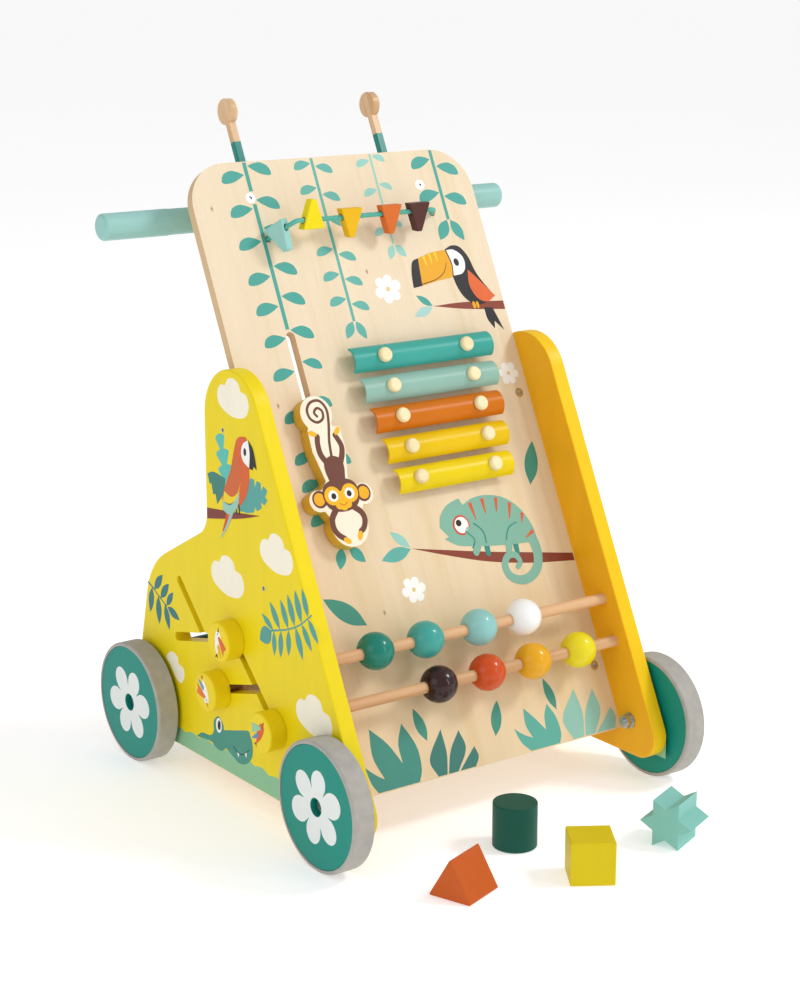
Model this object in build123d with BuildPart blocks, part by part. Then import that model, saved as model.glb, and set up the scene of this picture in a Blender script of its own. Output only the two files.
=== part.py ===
"""Wooden push-along baby walker with an activity board, two side panels and four sorting blocks.

Millimetres, +Z up, the child walks behind it and pushes towards -Y.  The origin is on the floor under
the centre of the whole set.  The activity board leans back, so most of its furniture is placed in board
coordinates: u across (the same as X), v up the board from its bottom front edge, h out of its face.
"""

import math
import os

from build123d import *

os.makedirs("parts", exist_ok=True)

# ---- driving dimensions -------------------------------------------------------------------------------
mid_y = 48.48                   # Y midway between the two axles
wheelbase = 275.6
wheel_radius = 50.0
wheel_width = 18.4
wheel_outer_x = 170.4           # outer face of a tyre
tyre_depth = 3.0                # rubber around the wooden disc

board_width = 270.0             # also the gap between the side panels
board_length = 500.0
board_thickness = 8.0
board_lean = 25.76              # degrees from the vertical
board_front_y = mid_y - 127.9   # bottom edge of the board's front face
board_front_z = 41.1
board_corner_radius = 36.0

panel_thickness = 13.7
panel_proud = 36.7              # how far the panels' front edge stands in front of the board
panel_bottom_z = 21.6
panel_head_v = 297.8            # centre of the rounded head, up the board
panel_head_radius = 39.0
panel_edge_rounding = 1.2

handle_radius = 10.5
handle_length = 387.0
handle_v = 470.2
handle_h = -43.4

rod_radius = 4.5                # abacus rods
rod_h = 21.0
rod_socket = 6.0                # how deep a rod sits in a side panel
bead_radius = 14.5
bead_clearance = 0.08

screw_radius = 2.0
axle_radius = 3.0
running_clearance = 0.06
sliding_gap = 0.3               # around pegs, mallets and other loose pieces

# ---- the leaning board's frame ------------------------------------------------------------------------
lean = math.radians(board_lean)
UP_BOARD = Vector(0, math.sin(lean), math.cos(lean))
BOARD_NORMAL = Vector(0, -math.cos(lean), math.sin(lean))
BOARD_ORIGIN = Vector(0, board_front_y, board_front_z)
panel_inner_x = board_width / 2
panel_outer_x = panel_inner_x + panel_thickness
SIDES = {"left": -1, "right": 1}


def board_point(u, v, h=0.0):
    """The point u across, v up and h out of the board's face."""
    return BOARD_ORIGIN + Vector(u, 0, 0) + UP_BOARD * v + BOARD_NORMAL * h


def face_plane(h=0.0, u=0.0, v=0.0):
    """Parallel to the board's face: local x is across, local y is up the board."""
    return Plane(origin=board_point(u, v, h), x_dir=(1, 0, 0), z_dir=BOARD_NORMAL)


def section_plane(u=0.0):
    """Across the board at u: local x is up the board, local y is out of its face, normal +X."""
    return Plane(origin=board_point(u, 0, 0), x_dir=UP_BOARD, z_dir=(1, 0, 0))


def top_plane(u, v, h):
    """Square to the board's length: local x is across, normal up the board."""
    return Plane(origin=board_point(u, v, h), x_dir=(1, 0, 0), z_dir=UP_BOARD)


def side_plane(x):
    """Parallel to a side panel: local x is Y, local y is Z, normal +X."""
    return Plane.YZ.offset(x)


def finish(piece, name):
    piece.part.label = name
    export_step(piece.part, f"parts/{name}.step")


# ---- fastener positions -------------------------------------------------------------------------------
axle_places = [
    (mid_y - wheelbase / 2, wheel_radius),
    (mid_y + wheelbase / 2, wheel_radius),
]
AXLES = {"front": axle_places[0], "rear": axle_places[1]}
batten_depth = 18.0
batten_width = 20.0
batten_bottom_v = 30.0
batten_top_v = 320.0
batten_middle_h = -board_thickness - batten_depth / 2
board_screw_u = 125.0
board_screw_vs = (54.0, 286.0)
panel_screw_vs = (170.4, 294.8)
board_screw_length = 22.0
panel_screw_length = 28.0
handle_screw_u = 82.0
handle_screw_length = 49.0

# ---- side panels --------------------------------------------------------------------------------------
neck_corner = Vector(mid_y + 43.0, 216.0)
shoulder_corner = Vector(mid_y + 134.7, 167.8)
rear_foot = Vector(mid_y + 170.7, panel_bottom_z)
corner_radii = (22.0, 60.0, 35.0, 19.0)

# tray between the panels, held in grooves
groove_depth = 4.0
tray_floor_z = 44.0
tray_floor_thickness = 8.0
tray_front_y = mid_y - 113.0
rear_wall_y = mid_y + 119.0
rear_wall_thickness = 6.0
rear_wall_bottom_z = 30.0
rear_wall_top_z = 100.0
tray_floor_width = board_width + 2 * groove_depth

# sorting blocks and the holes that they drop through
block_side = 33.0
cylinder_radius = 17.0
cylinder_height = 35.0
triangle_side = 36.0
triangle_length = 38.0
star_radius = 21.0
star_length = 33.0
sorter_gap = 2.5
sorter_holes = {
    "round": (mid_y - 20.0, 152.0),
    "square": (mid_y + 38.0, 152.0),
    "triangle": (mid_y - 6.0, 96.0),
    "star": (mid_y + 52.0, 96.0),
}

# bird knobs in the maze of slots cut through the left panel
peg_radius = 3.2
maze_slot_width = 2 * (peg_radius + 0.4)
maze_top = (mid_y + 87.0, 163.7)
maze_rear = (mid_y + 92.5, 115.0)
maze_branch = (mid_y + 49.5, 125.4)
maze_junction = (mid_y + 6.0, 136.0)
maze_low_rear = (mid_y + 27.5, 89.0)
maze_low_branch = (mid_y - 27.5, 104.0)
maze_foot = (mid_y - 52.0, 79.5)
maze_runs = [
    (maze_top, maze_branch),
    (maze_rear, maze_junction),
    (maze_junction, maze_foot),
    (maze_low_rear, maze_low_branch),
]
bird_places = (maze_junction, maze_low_rear, maze_foot)
bird_knob_radius = 15.7
bird_knob_thickness = 14.0
retainer_radius = 12.0
retainer_thickness = 4.0
peg_socket = 7.0

# monkey slider in the board's slot
slider_u = -79.0
slider_gap = 0.8
slider_thickness = 11.0
slider_peg_radius = 3.7
slider_peg_vs = (232.0, 258.0)
slider_slot_radius = 4.0
slider_slot_top_v = 356.0

# garland
cord_radius = 2.0
cord_h = 18.0
cord_v = 442.6
cord_hole_radius = 2.6
flag_thickness = 8.0
flag_bore_radius = 2.8
flag_half_width = 10.2
flag_tip_half_width = 2.4
flag_above = 6.8
flag_below = 16.2
first_flag_roll = 11.0
first_flag_distance = 11.8
first_flag_axis = (0.3, 0.12, 0.946)
cord_route = [
    (-76.2, 435.6, -8.0),
    (-76.2, 435.6, 1.0),
    (-70.95, 437.7, 17.6),
    (-67.5, 439.0, 23.2),
    (-62.0, 441.0, 24.3),
    (-56.8, 442.2, 21.0),
    (-51.5, cord_v, cord_h),
    (74.5, cord_v, cord_h),
    (81.5, 444.3, 9.5),
    (86.5, 445.2, 1.0),
    (86.5, 445.2, -8.0),
]


def side_outline():
    """The closed outline shared by both panels, in a side plane."""
    head = board_point(0, panel_head_v, panel_proud - panel_head_radius)
    front_dir = Vector(UP_BOARD.Y, UP_BOARD.Z)
    front_normal = Vector(BOARD_NORMAL.Y, BOARD_NORMAL.Z)
    head_centre = Vector(head.Y, head.Z)
    head_front = head_centre + front_normal * panel_head_radius
    head_top = head_centre + front_dir * panel_head_radius
    head_rear = head_centre + Vector(panel_head_radius, 0)
    toe_drop = (head_front.Y - panel_bottom_z) / front_dir.Y
    toe = head_front - front_dir * toe_drop
    neck = Vector(head_rear.X, neck_corner.Y)
    FilletPolyline(head_rear, neck, shoulder_corner, rear_foot, toe, head_front, radius=corner_radii)
    ThreePointArc(head_front, head_top, head_rear)


def slot_between(start, end, width):
    """A round-ended slot between two centres, in the current sketch."""
    run = Vector(*end) - Vector(*start)
    middle = (Vector(*end) + Vector(*start)) * 0.5
    with Locations((middle.X, middle.Y)):
        SlotCenterToCenter(run.length, width, rotation=math.degrees(math.atan2(run.Y, run.X)))


def hexagram(radius, tip_angle=90.0):
    """A six-pointed star in the current sketch: two triangles turned against each other."""
    for turn in (tip_angle, tip_angle + 60.0):
        RegularPolygon(radius, 3, rotation=turn)


def side_panel(side):
    """One side panel: outline, tray grooves, rod sockets, axle and screw holes."""
    outer_x = side * panel_outer_x
    inner_x = side * panel_inner_x
    with BuildPart() as panel:
        with BuildSketch(side_plane(inner_x)):
            with BuildLine():
                side_outline()
            make_face()
        extrude(amount=side * panel_thickness)
        rims = panel.faces().filter_by(Axis.X).edges()
        fillet(rims, radius=panel_edge_rounding)
        with BuildSketch(side_plane(inner_x)):
            floor_middle = (tray_front_y + rear_wall_y) / 2
            with Locations((floor_middle, tray_floor_z + tray_floor_thickness / 2)):
                Rectangle(rear_wall_y - tray_front_y, tray_floor_thickness)
            wall_middle_z = (rear_wall_bottom_z + rear_wall_top_z) / 2
            with Locations((rear_wall_y + rear_wall_thickness / 2, wall_middle_z)):
                Rectangle(rear_wall_thickness, rear_wall_top_z - rear_wall_bottom_z)
        extrude(amount=side * groove_depth, mode=Mode.SUBTRACT)
        with BuildSketch(section_plane(inner_x)):
            with Locations(*[(v, rod_h) for v in rod_vs]):
                Circle(rod_radius)
        extrude(amount=side * rod_socket, mode=Mode.SUBTRACT)
        with BuildSketch(section_plane(inner_x)):
            with Locations(*[(v, batten_middle_h) for v in panel_screw_vs]):
                Circle(screw_radius)
        extrude(amount=side * panel_thickness, mode=Mode.SUBTRACT)
        with BuildSketch(side_plane(inner_x)):
            with Locations(*axle_places):
                Circle(axle_radius)
        extrude(amount=side * panel_thickness, mode=Mode.SUBTRACT)
        if side == SIDES["left"]:
            with BuildSketch(side_plane(outer_x)):
                for start, end in maze_runs:
                    slot_between(start, end, maze_slot_width)
            extrude(amount=panel_thickness, mode=Mode.SUBTRACT)
        else:
            with BuildSketch(side_plane(inner_x)):
                with Locations(sorter_holes["round"]):
                    Circle(cylinder_radius + sorter_gap)
                with Locations(sorter_holes["square"]):
                    Rectangle(block_side + 2 * sorter_gap, block_side + 2 * sorter_gap)
                with Locations(sorter_holes["triangle"]):
                    RegularPolygon(triangle_side / math.sqrt(3) + 2 * sorter_gap, 3, rotation=90)
                with Locations(sorter_holes["star"]):
                    hexagram(star_radius + 1.4 * sorter_gap)
            extrude(amount=panel_thickness, mode=Mode.SUBTRACT)
    return panel


# ---- abacus -------------------------------------------------------------------------------------------
rod_vs = (68.5, 103.8)
bead_places = {
    "bead_green": (-90.9, rod_vs[1]),
    "bead_teal": (-44.1, rod_vs[1]),
    "bead_aqua": (7.3, rod_vs[1]),
    "bead_white": (51.5, rod_vs[1]),
    "bead_brown": (-42.7, rod_vs[0]),
    "bead_orange": (4.1, rod_vs[0]),
    "bead_amber": (49.6, rod_vs[0]),
    "bead_yellow": (96.3, rod_vs[0]),
}

for side_name, side in SIDES.items():
    finish(side_panel(side), f"{side_name}_side_panel")

with BuildPart() as abacus_rods:
    with BuildSketch(section_plane(-panel_inner_x - rod_socket)):
        with Locations(*[(v, rod_h) for v in rod_vs]):
            Circle(rod_radius)
    extrude(amount=board_width + 2 * rod_socket)
finish(abacus_rods, "abacus_rods")

bead_bore_radius = rod_radius + bead_clearance
bead_rim_radius = 6.2           # the flat around each end of the bore
bead_half_length = math.sqrt(bead_radius**2 - bead_rim_radius**2)
for name, (u, v) in bead_places.items():
    bead_plane = Plane(origin=board_point(u, v, rod_h), x_dir=(1, 0, 0), z_dir=UP_BOARD)
    with BuildPart() as bead:
        with BuildSketch(bead_plane) as bead_profile:
            with BuildLine():
                Polyline(
                    (bead_half_length, bead_rim_radius),
                    (bead_half_length, bead_bore_radius),
                    (-bead_half_length, bead_bore_radius),
                    (-bead_half_length, bead_rim_radius),
                )
                ThreePointArc(
                    (-bead_half_length, bead_rim_radius),
                    (0, bead_radius),
                    (bead_half_length, bead_rim_radius),
                )
            make_face()
            fillet(bead_profile.vertices().group_by(Axis.Y)[-1], radius=0.8)
        revolve(axis=Axis(bead_plane.origin, (1, 0, 0)))
    finish(bead, name)

# ---- activity board -----------------------------------------------------------------------------------
chime_u = 33.3
chime_vs = (329.0, 304.0, 279.2, 254.1, 229.0)
chime_lengths = (137.0, 132.0, 126.0, 119.5, 113.0)
chime_width = 20.5
chime_edge_h = 7.5
chime_crown_h = 14.0
chime_sheet = 1.5
chime_pin_radius = 2.0
chime_pin_depth = 5.0
chime_pin_spans = [40.5 - 0.9 * step for step in range(5)]
chime_pins_at = [
    (chime_u + end * span, v) for span, v in zip(chime_pin_spans, chime_vs) for end in (-1, 1)
]
board_screws_at = [(side * board_screw_u, v) for side in (-1, 1) for v in board_screw_vs]
handle_screws_at = [(side * handle_screw_u, handle_v) for side in (-1, 1)]
screw_head_radius = 4.0
screw_head_depth = 2.2

with BuildPart() as front_board:
    with BuildSketch(face_plane(-board_thickness)) as board_outline:
        with Locations((0, board_length / 2)):
            Rectangle(board_width, board_length)
        fillet(board_outline.vertices().sort_by(Axis.Y)[-2:], radius=board_corner_radius)
    extrude(amount=board_thickness)
    with BuildSketch(face_plane(0)):
        slot_between((slider_u, slider_peg_vs[0] - 0.3), (slider_u, slider_slot_top_v), 2 * slider_slot_radius)
    extrude(amount=-board_thickness, mode=Mode.SUBTRACT)
    with BuildSketch(face_plane(0)):
        with Locations(*[(point[0], point[1]) for point in (cord_route[0], cord_route[-1])]):
            Circle(cord_hole_radius)
    extrude(amount=-board_thickness, mode=Mode.SUBTRACT)
    with Locations(face_plane(0)):
        with Locations(*board_screws_at, *handle_screws_at):
            CounterSinkHole(screw_radius, screw_head_radius, counter_sink_angle=90)
    with BuildSketch(face_plane(0)):
        with Locations(*chime_pins_at):
            Circle(chime_pin_radius)
    extrude(amount=-chime_pin_depth, mode=Mode.SUBTRACT)
finish(front_board, "front_board")

# ---- battens behind the board's long edges ------------------------------------------------------------
for side_name, side in SIDES.items():
    with BuildPart() as batten:
        with BuildSketch(face_plane(-board_thickness)):
            with Locations((side * (panel_inner_x - batten_width / 2), (batten_bottom_v + batten_top_v) / 2)):
                Rectangle(batten_width, batten_top_v - batten_bottom_v)
        extrude(amount=-batten_depth)
        inner_edges = batten.edges().filter_by(Axis(board_point(0, 0), UP_BOARD))
        chamfer(inner_edges.sort_by_distance(board_point(0, 175, -60))[:1], length=2.0)
        with BuildSketch(face_plane(-board_thickness)):
            with Locations(*[(side * board_screw_u, v) for v in board_screw_vs]):
                Circle(screw_radius)
        extrude(amount=-(board_screw_length - board_thickness), mode=Mode.SUBTRACT)
        with BuildSketch(section_plane(side * panel_inner_x)):
            with Locations(*[(v, batten_middle_h) for v in panel_screw_vs]):
                Circle(screw_radius)
        extrude(amount=-side * (panel_screw_length - panel_thickness), mode=Mode.SUBTRACT)
    finish(batten, f"batten_{side_name}")

# ---- tray behind the board ----------------------------------------------------------------------------
with BuildPart() as tray_floor:
    with BuildSketch(Plane.XY.offset(tray_floor_z)):
        with Locations((0, (tray_front_y + rear_wall_y) / 2)):
            Rectangle(tray_floor_width, rear_wall_y - tray_front_y)
    extrude(amount=tray_floor_thickness)
finish(tray_floor, "tray_floor")

with BuildPart() as tray_rear_wall:
    with BuildSketch(Plane.XY.offset(rear_wall_bottom_z)):
        with Locations((0, rear_wall_y + rear_wall_thickness / 2)):
            Rectangle(tray_floor_width, rear_wall_thickness)
    extrude(amount=rear_wall_top_z - rear_wall_bottom_z)
    fillet(tray_rear_wall.edges().filter_by(Axis.X).group_by(Axis.Z)[-1], radius=1.5)
finish(tray_rear_wall, "tray_rear_wall")

# ---- handle bar on two blocks that also hold the mallets ----------------------------------------------
seat_radius = handle_radius - 0.3       # the bar is turned a little smaller between its free ends
holder_inner_u = 61.0
holder_outer_u = 96.0
holder_stem_outer_u = 78.0      # below its head the block is narrower, clear of the garland's right knot
knot_recess_radius = 6.3        # a shallow recess in the left block takes the other knot
knot_recess_depth = 8.2
holder_bottom_v = 400.0
holder_head_v = 454.0
holder_top_v = 492.0
holder_depth = 27.9
mallet_u = 69.0
mallet_h = -20.5
mallet_thickness = 7.0
mallet_stick_depth = 5.6
mallet_bottom_v = 411.0
mallet_head_v = 549.5
mallet_head_radius = 10.4
pocket_bottom_v = mallet_bottom_v - sliding_gap

with BuildPart() as handle_bar:
    with BuildSketch(section_plane(-handle_length / 2)):
        with Locations((handle_v, handle_h)):
            Circle(handle_radius)
    extrude(amount=handle_length)
    fillet(handle_bar.edges().filter_by(GeomType.CIRCLE), radius=3.0)
    with BuildSketch(section_plane(-panel_inner_x)):
        with Locations((handle_v, handle_h)):
            Circle(handle_radius)
            Circle(seat_radius, mode=Mode.SUBTRACT)
    extrude(amount=board_width, mode=Mode.SUBTRACT)
    with BuildSketch(face_plane(handle_h + handle_radius)):
        with Locations(*handle_screws_at):
            Circle(screw_radius)
    extrude(amount=-(handle_screw_length + handle_h + handle_radius), mode=Mode.SUBTRACT)
finish(handle_bar, "handle_bar")

for side_name, side in SIDES.items():
    with BuildPart() as mallet_holder:
        with BuildSketch(face_plane(-board_thickness)):
            with BuildLine():
                Polyline(
                    (side * holder_inner_u, holder_bottom_v),
                    (side * holder_inner_u, holder_top_v),
                    (side * holder_outer_u, holder_top_v),
                    (side * holder_outer_u, holder_head_v),
                    (side * holder_stem_outer_u, holder_head_v),
                    (side * holder_stem_outer_u, holder_bottom_v),
                    close=True,
                )
            make_face()
        extrude(amount=-holder_depth)
        with BuildSketch(face_plane(-board_thickness)):
            with Locations(*[(point[0], point[1]) for point in (cord_route[0], cord_route[-1])]):
                Circle(knot_recess_radius)
        extrude(amount=-knot_recess_depth, mode=Mode.SUBTRACT)
        with BuildSketch(section_plane(-panel_inner_x)):
            with Locations((handle_v, handle_h)):
                Circle(seat_radius)
        extrude(amount=board_width, mode=Mode.SUBTRACT)
        with BuildSketch(top_plane(side * mallet_u, holder_top_v, mallet_h)):
            Rectangle(mallet_thickness + 2 * sliding_gap, mallet_stick_depth + 2 * sliding_gap)
        extrude(amount=-(holder_top_v - pocket_bottom_v), mode=Mode.SUBTRACT)
        with BuildSketch(face_plane(-board_thickness)):
            with Locations((side * handle_screw_u, handle_v)):
                Circle(screw_radius)
        extrude(amount=-holder_depth, mode=Mode.SUBTRACT)
    finish(mallet_holder, f"mallet_holder_{side_name}")

    with BuildPart() as mallet:
        with BuildSketch(section_plane(side * mallet_u - mallet_thickness / 2)):
            with Locations(((mallet_bottom_v + mallet_head_v) / 2, mallet_h)):
                Rectangle(mallet_head_v - mallet_bottom_v, mallet_stick_depth)
            with Locations((mallet_head_v, mallet_h)):
                Circle(mallet_head_radius)
        extrude(amount=mallet_thickness)
        fillet(mallet.faces().filter_by(Axis.X).edges(), radius=1.0)
    finish(mallet, f"mallet_{side_name}")


# ---- screws -------------------------------------------------------------------------------------------
def screw_at(plane, length):
    """A countersunk screw whose head is flush with the plane and which points against its normal."""
    section = Plane(origin=plane.origin, x_dir=plane.x_dir, z_dir=plane.x_dir.cross(plane.z_dir))
    with BuildSketch(section) as profile:
        with BuildLine():
            Polyline(
                (0, 0),
                (screw_head_radius, 0),
                (screw_radius, -(screw_head_radius - screw_radius)),
                (screw_radius, -length),
                (0, -length),
                close=True,
            )
        make_face()
    revolve(profile.sketch, axis=Axis(plane.origin, plane.z_dir))


def drive_recess(plane):
    """A small hexagonal socket in a screw's head."""
    with BuildSketch(plane) as socket:
        RegularPolygon(1.8, 6)
    extrude(socket.sketch, amount=-1.4, mode=Mode.SUBTRACT)


handle_screw_planes = [face_plane(0, u, v) for u, v in handle_screws_at]
with BuildPart() as handle_screws:
    for plane in handle_screw_planes:
        screw_at(plane, handle_screw_length)
        drive_recess(plane)
finish(handle_screws, "handle_screws")

board_screw_planes = [face_plane(0, u, v) for u, v in board_screws_at]
with BuildPart() as frame_screws:
    for plane in board_screw_planes:
        screw_at(plane, board_screw_length)
        drive_recess(plane)
    for side in SIDES.values():
        for v in panel_screw_vs:
            start = board_point(side * panel_outer_x, v, batten_middle_h)
            plane = Plane(origin=start, x_dir=(0, 1, 0), z_dir=(side, 0, 0))
            with BuildSketch(plane):
                Circle(screw_radius)
            extrude(amount=-panel_screw_length)
            drive_recess(plane)
finish(frame_screws, "frame_screws")

# ---- chime bars ---------------------------------------------------------------------------------------
for index, (v, length) in enumerate(zip(chime_vs, chime_lengths), start=1):
    pins = [at for at in chime_pins_at if at[1] == v]
    with BuildPart() as chime_bar:
        with BuildSketch(section_plane(chime_u - length / 2)):
            with BuildLine():
                half = chime_width / 2
                outer_left = (v - half, chime_edge_h)
                outer_right = (v + half, chime_edge_h)
                inner_left = (v - half + chime_sheet, chime_edge_h)
                inner_right = (v + half - chime_sheet, chime_edge_h)
                ThreePointArc(outer_left, (v, chime_crown_h), outer_right)
                Line(outer_right, inner_right)
                ThreePointArc(inner_right, (v, chime_crown_h - chime_sheet), inner_left)
                Line(inner_left, outer_left)
            make_face()
        extrude(amount=length)
        with BuildSketch(face_plane(chime_crown_h + 1)):
            with Locations(*pins):
                Circle(chime_pin_radius + 0.4)
        extrude(amount=-chime_crown_h, mode=Mode.SUBTRACT)
    finish(chime_bar, f"chime_bar_{index}")

pin_head_radius = 5.9
pin_head_height = 4.0
pin_head_h = chime_crown_h + 0.1
with BuildPart() as chime_pins:
    for u, v in chime_pins_at:
        with BuildSketch(face_plane(-chime_pin_depth, u, v)):
            Circle(chime_pin_radius)
        extrude(amount=pin_head_h + chime_pin_depth)
        with BuildSketch(face_plane(pin_head_h, u, v)):
            Circle(pin_head_radius)
        extrude(amount=pin_head_height)
    tops = chime_pins.faces().filter_by(lambda f: abs(f.area - math.pi * pin_head_radius**2) < 0.5)
    fillet(tops.edges(), radius=2.4)
finish(chime_pins, "chime_pins")

cushion_top_h = 11.4
with BuildPart() as chime_cushions:
    with BuildSketch(face_plane(0)):
        with Locations(*chime_pins_at):
            Circle(4.0)
            Circle(chime_pin_radius, mode=Mode.SUBTRACT)
    extrude(amount=cushion_top_h)
finish(chime_cushions, "chime_cushions")

# ---- monkey slider ------------------------------------------------------------------------------------
slider_head_v = 222.0
slider_sketch_circles = [
    (0.0, slider_head_v, 18.5),         # head
    (-20.5, slider_head_v + 2.0, 8.5),  # ears
    (20.5, slider_head_v + 2.0, 8.5),
    (1.0, 201.5, 16.5),                 # ring of the arms
    (-3.0, 291.0, 14.0),                # curled tail
]

slider_waist_rounding = 2.5

with BuildPart() as monkey_slider:
    with BuildSketch(face_plane(slider_gap)):
        for u, v, radius in slider_sketch_circles:
            with Locations((slider_u + u, v)):
                Circle(radius)
        with BuildLine():
            Polyline(
                (slider_u - 14.5, 279.0),
                (slider_u + 14.5, 279.0),
                (slider_u + 15.0, 262.0),
                (slider_u + 9.5, 236.0),
                (slider_u - 9.5, 236.0),
                (slider_u - 15.0, 262.0),
                close=True,
            )
        make_face()
        offset(amount=slider_waist_rounding, mode=Mode.REPLACE)
        offset(amount=-slider_waist_rounding, mode=Mode.REPLACE)
    extrude(amount=slider_thickness)
    with BuildSketch(face_plane(slider_gap)):
        with Locations(*[(slider_u, v) for v in slider_peg_vs]):
            Circle(slider_peg_radius)
    extrude(amount=peg_socket, mode=Mode.SUBTRACT)
finish(monkey_slider, "monkey_slider")

slider_plate_h = -board_thickness - slider_gap
with BuildPart() as monkey_retainer:
    with BuildSketch(face_plane(slider_plate_h)):
        with Locations((slider_u, sum(slider_peg_vs) / 2)):
            RectangleRounded(22.0, 50.0, 8.0)
    extrude(amount=-retainer_thickness)
    with BuildSketch(face_plane(slider_plate_h)):
        with Locations(*[(slider_u, v) for v in slider_peg_vs]):
            Circle(slider_peg_radius)
    extrude(amount=slider_gap + peg_socket - slider_plate_h)
finish(monkey_retainer, "monkey_retainer")

# ---- bird knobs ---------------------------------------------------------------------------------------
knob_inner_x = -panel_outer_x - sliding_gap
retainer_x = -panel_inner_x + 2 * sliding_gap
for index, place in enumerate(bird_places, start=1):
    with BuildPart() as bird_knob:
        with BuildSketch(side_plane(knob_inner_x)):
            with Locations(place):
                Circle(bird_knob_radius)
        extrude(amount=-bird_knob_thickness)
        fillet(bird_knob.edges().group_by(Axis.X)[0], radius=1.6)
        with BuildSketch(side_plane(knob_inner_x)):
            with Locations(place):
                Circle(peg_radius)
        extrude(amount=-peg_socket, mode=Mode.SUBTRACT)
    finish(bird_knob, f"bird_knob_{index}")

    with BuildPart() as bird_retainer:
        with BuildSketch(side_plane(retainer_x)):
            with Locations(place):
                Circle(retainer_radius)
        extrude(amount=retainer_thickness)
        fillet(bird_retainer.edges().group_by(Axis.X)[-1], radius=1.0)
        with BuildSketch(side_plane(retainer_x)):
            with Locations(place):
                Circle(peg_radius)
        extrude(amount=knob_inner_x - peg_socket - retainer_x)
    finish(bird_retainer, f"bird_retainer_{index}")


# ---- garland ------------------------------------------------------------------------------------------
def corner_radius(before, corner, after):
    """The largest arc that the two runs at a corner leave room for."""
    turn = math.radians((corner - before).get_angle(after - corner))
    shorter = min((corner - before).length, (after - corner).length)
    return 0.45 * shorter / math.tan(turn / 2)


cord_points = [board_point(*point) for point in cord_route]
cord_radii = [corner_radius(*cord_points[i : i + 3]) for i in range(len(cord_points) - 2)]
print("cord radii", [round(radius, 1) for radius in cord_radii])

with BuildPart() as garland_cord:
    with BuildLine() as cord_path:
        FilletPolyline(*cord_points, radius=cord_radii)
    with BuildSketch(Plane(origin=cord_points[0], z_dir=cord_path.line % 0)):
        Circle(cord_radius)
    sweep()
cord_length = sum(edge.length for edge in cord_path.edges())
print("cord length", round(cord_length, 1))
print("cord volume over section", round(garland_cord.part.volume / (math.pi * cord_radius**2), 1))
finish(garland_cord, "garland_cord")

knot_radius = 5.0
with BuildPart() as garland_knots:
    for point in (cord_route[0], cord_route[-1]):
        with BuildSketch(face_plane(-board_thickness, point[0], point[1])):
            Circle(knot_radius)
        extrude(amount=-7.0)
    fillet(garland_knots.edges().filter_by(GeomType.CIRCLE), radius=2.2)
finish(garland_knots, "garland_knots")

# the first flag stands on the board, threaded where the cord comes out; the others hang plumb
axis_u, axis_v, axis_h = first_flag_axis
along_first = (Vector(axis_u, 0, 0) + UP_BOARD * axis_v + BOARD_NORMAL * axis_h).normalized()
above_first = (UP_BOARD - along_first * UP_BOARD.dot(along_first)).normalized()
above_first = above_first.rotate(Axis((0, 0, 0), along_first), first_flag_roll)
first_flag_at = cord_points[1] + along_first * first_flag_distance
print("first flag at", first_flag_at, "axis", along_first)
flags = {"flag_aqua": (first_flag_at, along_first, along_first.cross(above_first), -1)}
for name, u, direction in (
    ("flag_yellow", -44.1, 1),
    ("flag_amber", -7.9, -1),
    ("flag_orange", 30.5, -1),
    ("flag_brown", 58.5, -1),
):
    flags[name] = (board_point(u, cord_v, cord_h), Vector(1, 0, 0), Vector(0, -1, 0), direction)
for name, (centre, along, facing, direction) in flags.items():
    flag_plane = Plane(origin=centre, x_dir=along, z_dir=facing)
    with BuildPart() as flag:
        with BuildSketch(flag_plane):
            with BuildLine():
                Polyline(
                    (-flag_half_width, -direction * flag_above),
                    (flag_half_width, -direction * flag_above),
                    (flag_tip_half_width, direction * flag_below),
                    (-flag_tip_half_width, direction * flag_below),
                    close=True,
                )
            make_face()
        extrude(amount=flag_thickness / 2, both=True)
        chamfer(flag.edges(), length=0.6)
        with BuildSketch(Plane(origin=centre, z_dir=along)):
            Circle(flag_bore_radius)
        extrude(amount=2 * flag_half_width, both=True, mode=Mode.SUBTRACT)
    finish(flag, name)

# ---- wheels and axle hardware -------------------------------------------------------------------------
wheel_inner_x = wheel_outer_x - wheel_width
disc_radius = wheel_radius - tyre_depth
disc_inset = 0.5
hub_recess_radius = 6.8
hub_recess_depth = 9.0
recess_floor_x = wheel_outer_x - hub_recess_depth
axle_head_gap = 0.2

for axle_name, place in AXLES.items():
    for side_name, side in SIDES.items():
        with BuildPart() as wheel_disc:
            with BuildSketch(side_plane(side * (wheel_inner_x + disc_inset))):
                with Locations(place):
                    Circle(disc_radius)
            extrude(amount=side * (wheel_width - 2 * disc_inset))
            chamfer(wheel_disc.edges(), length=0.5)
            with BuildSketch(side_plane(side * wheel_inner_x)):
                with Locations(place):
                    Circle(axle_radius + running_clearance)
            extrude(amount=side * wheel_width, mode=Mode.SUBTRACT)
            with BuildSketch(side_plane(side * recess_floor_x)):
                with Locations(place):
                    Circle(hub_recess_radius)
            extrude(amount=side * hub_recess_depth, mode=Mode.SUBTRACT)
        finish(wheel_disc, f"wheel_disc_{axle_name}_{side_name}")

        with BuildPart() as tyre:
            with BuildSketch(side_plane(side * wheel_inner_x)):
                with Locations(place):
                    Circle(wheel_radius)
                    Circle(disc_radius, mode=Mode.SUBTRACT)
            extrude(amount=side * wheel_width)
            tread_edges = tyre.edges().filter_by(GeomType.CIRCLE).filter_by(lambda e: e.radius > disc_radius + 1)
            fillet(tread_edges, radius=1.8)
        finish(tyre, f"tyre_{axle_name}_{side_name}")

nut_across = 10.0
nut_height = 5.0
washer_thickness = 1.2
head_thickness = 4.0
head_x = recess_floor_x + axle_head_gap
bolt_end_x = panel_inner_x - washer_thickness - nut_height - 2.0
hardware_places = [(side, place) for side in SIDES.values() for place in axle_places]

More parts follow.
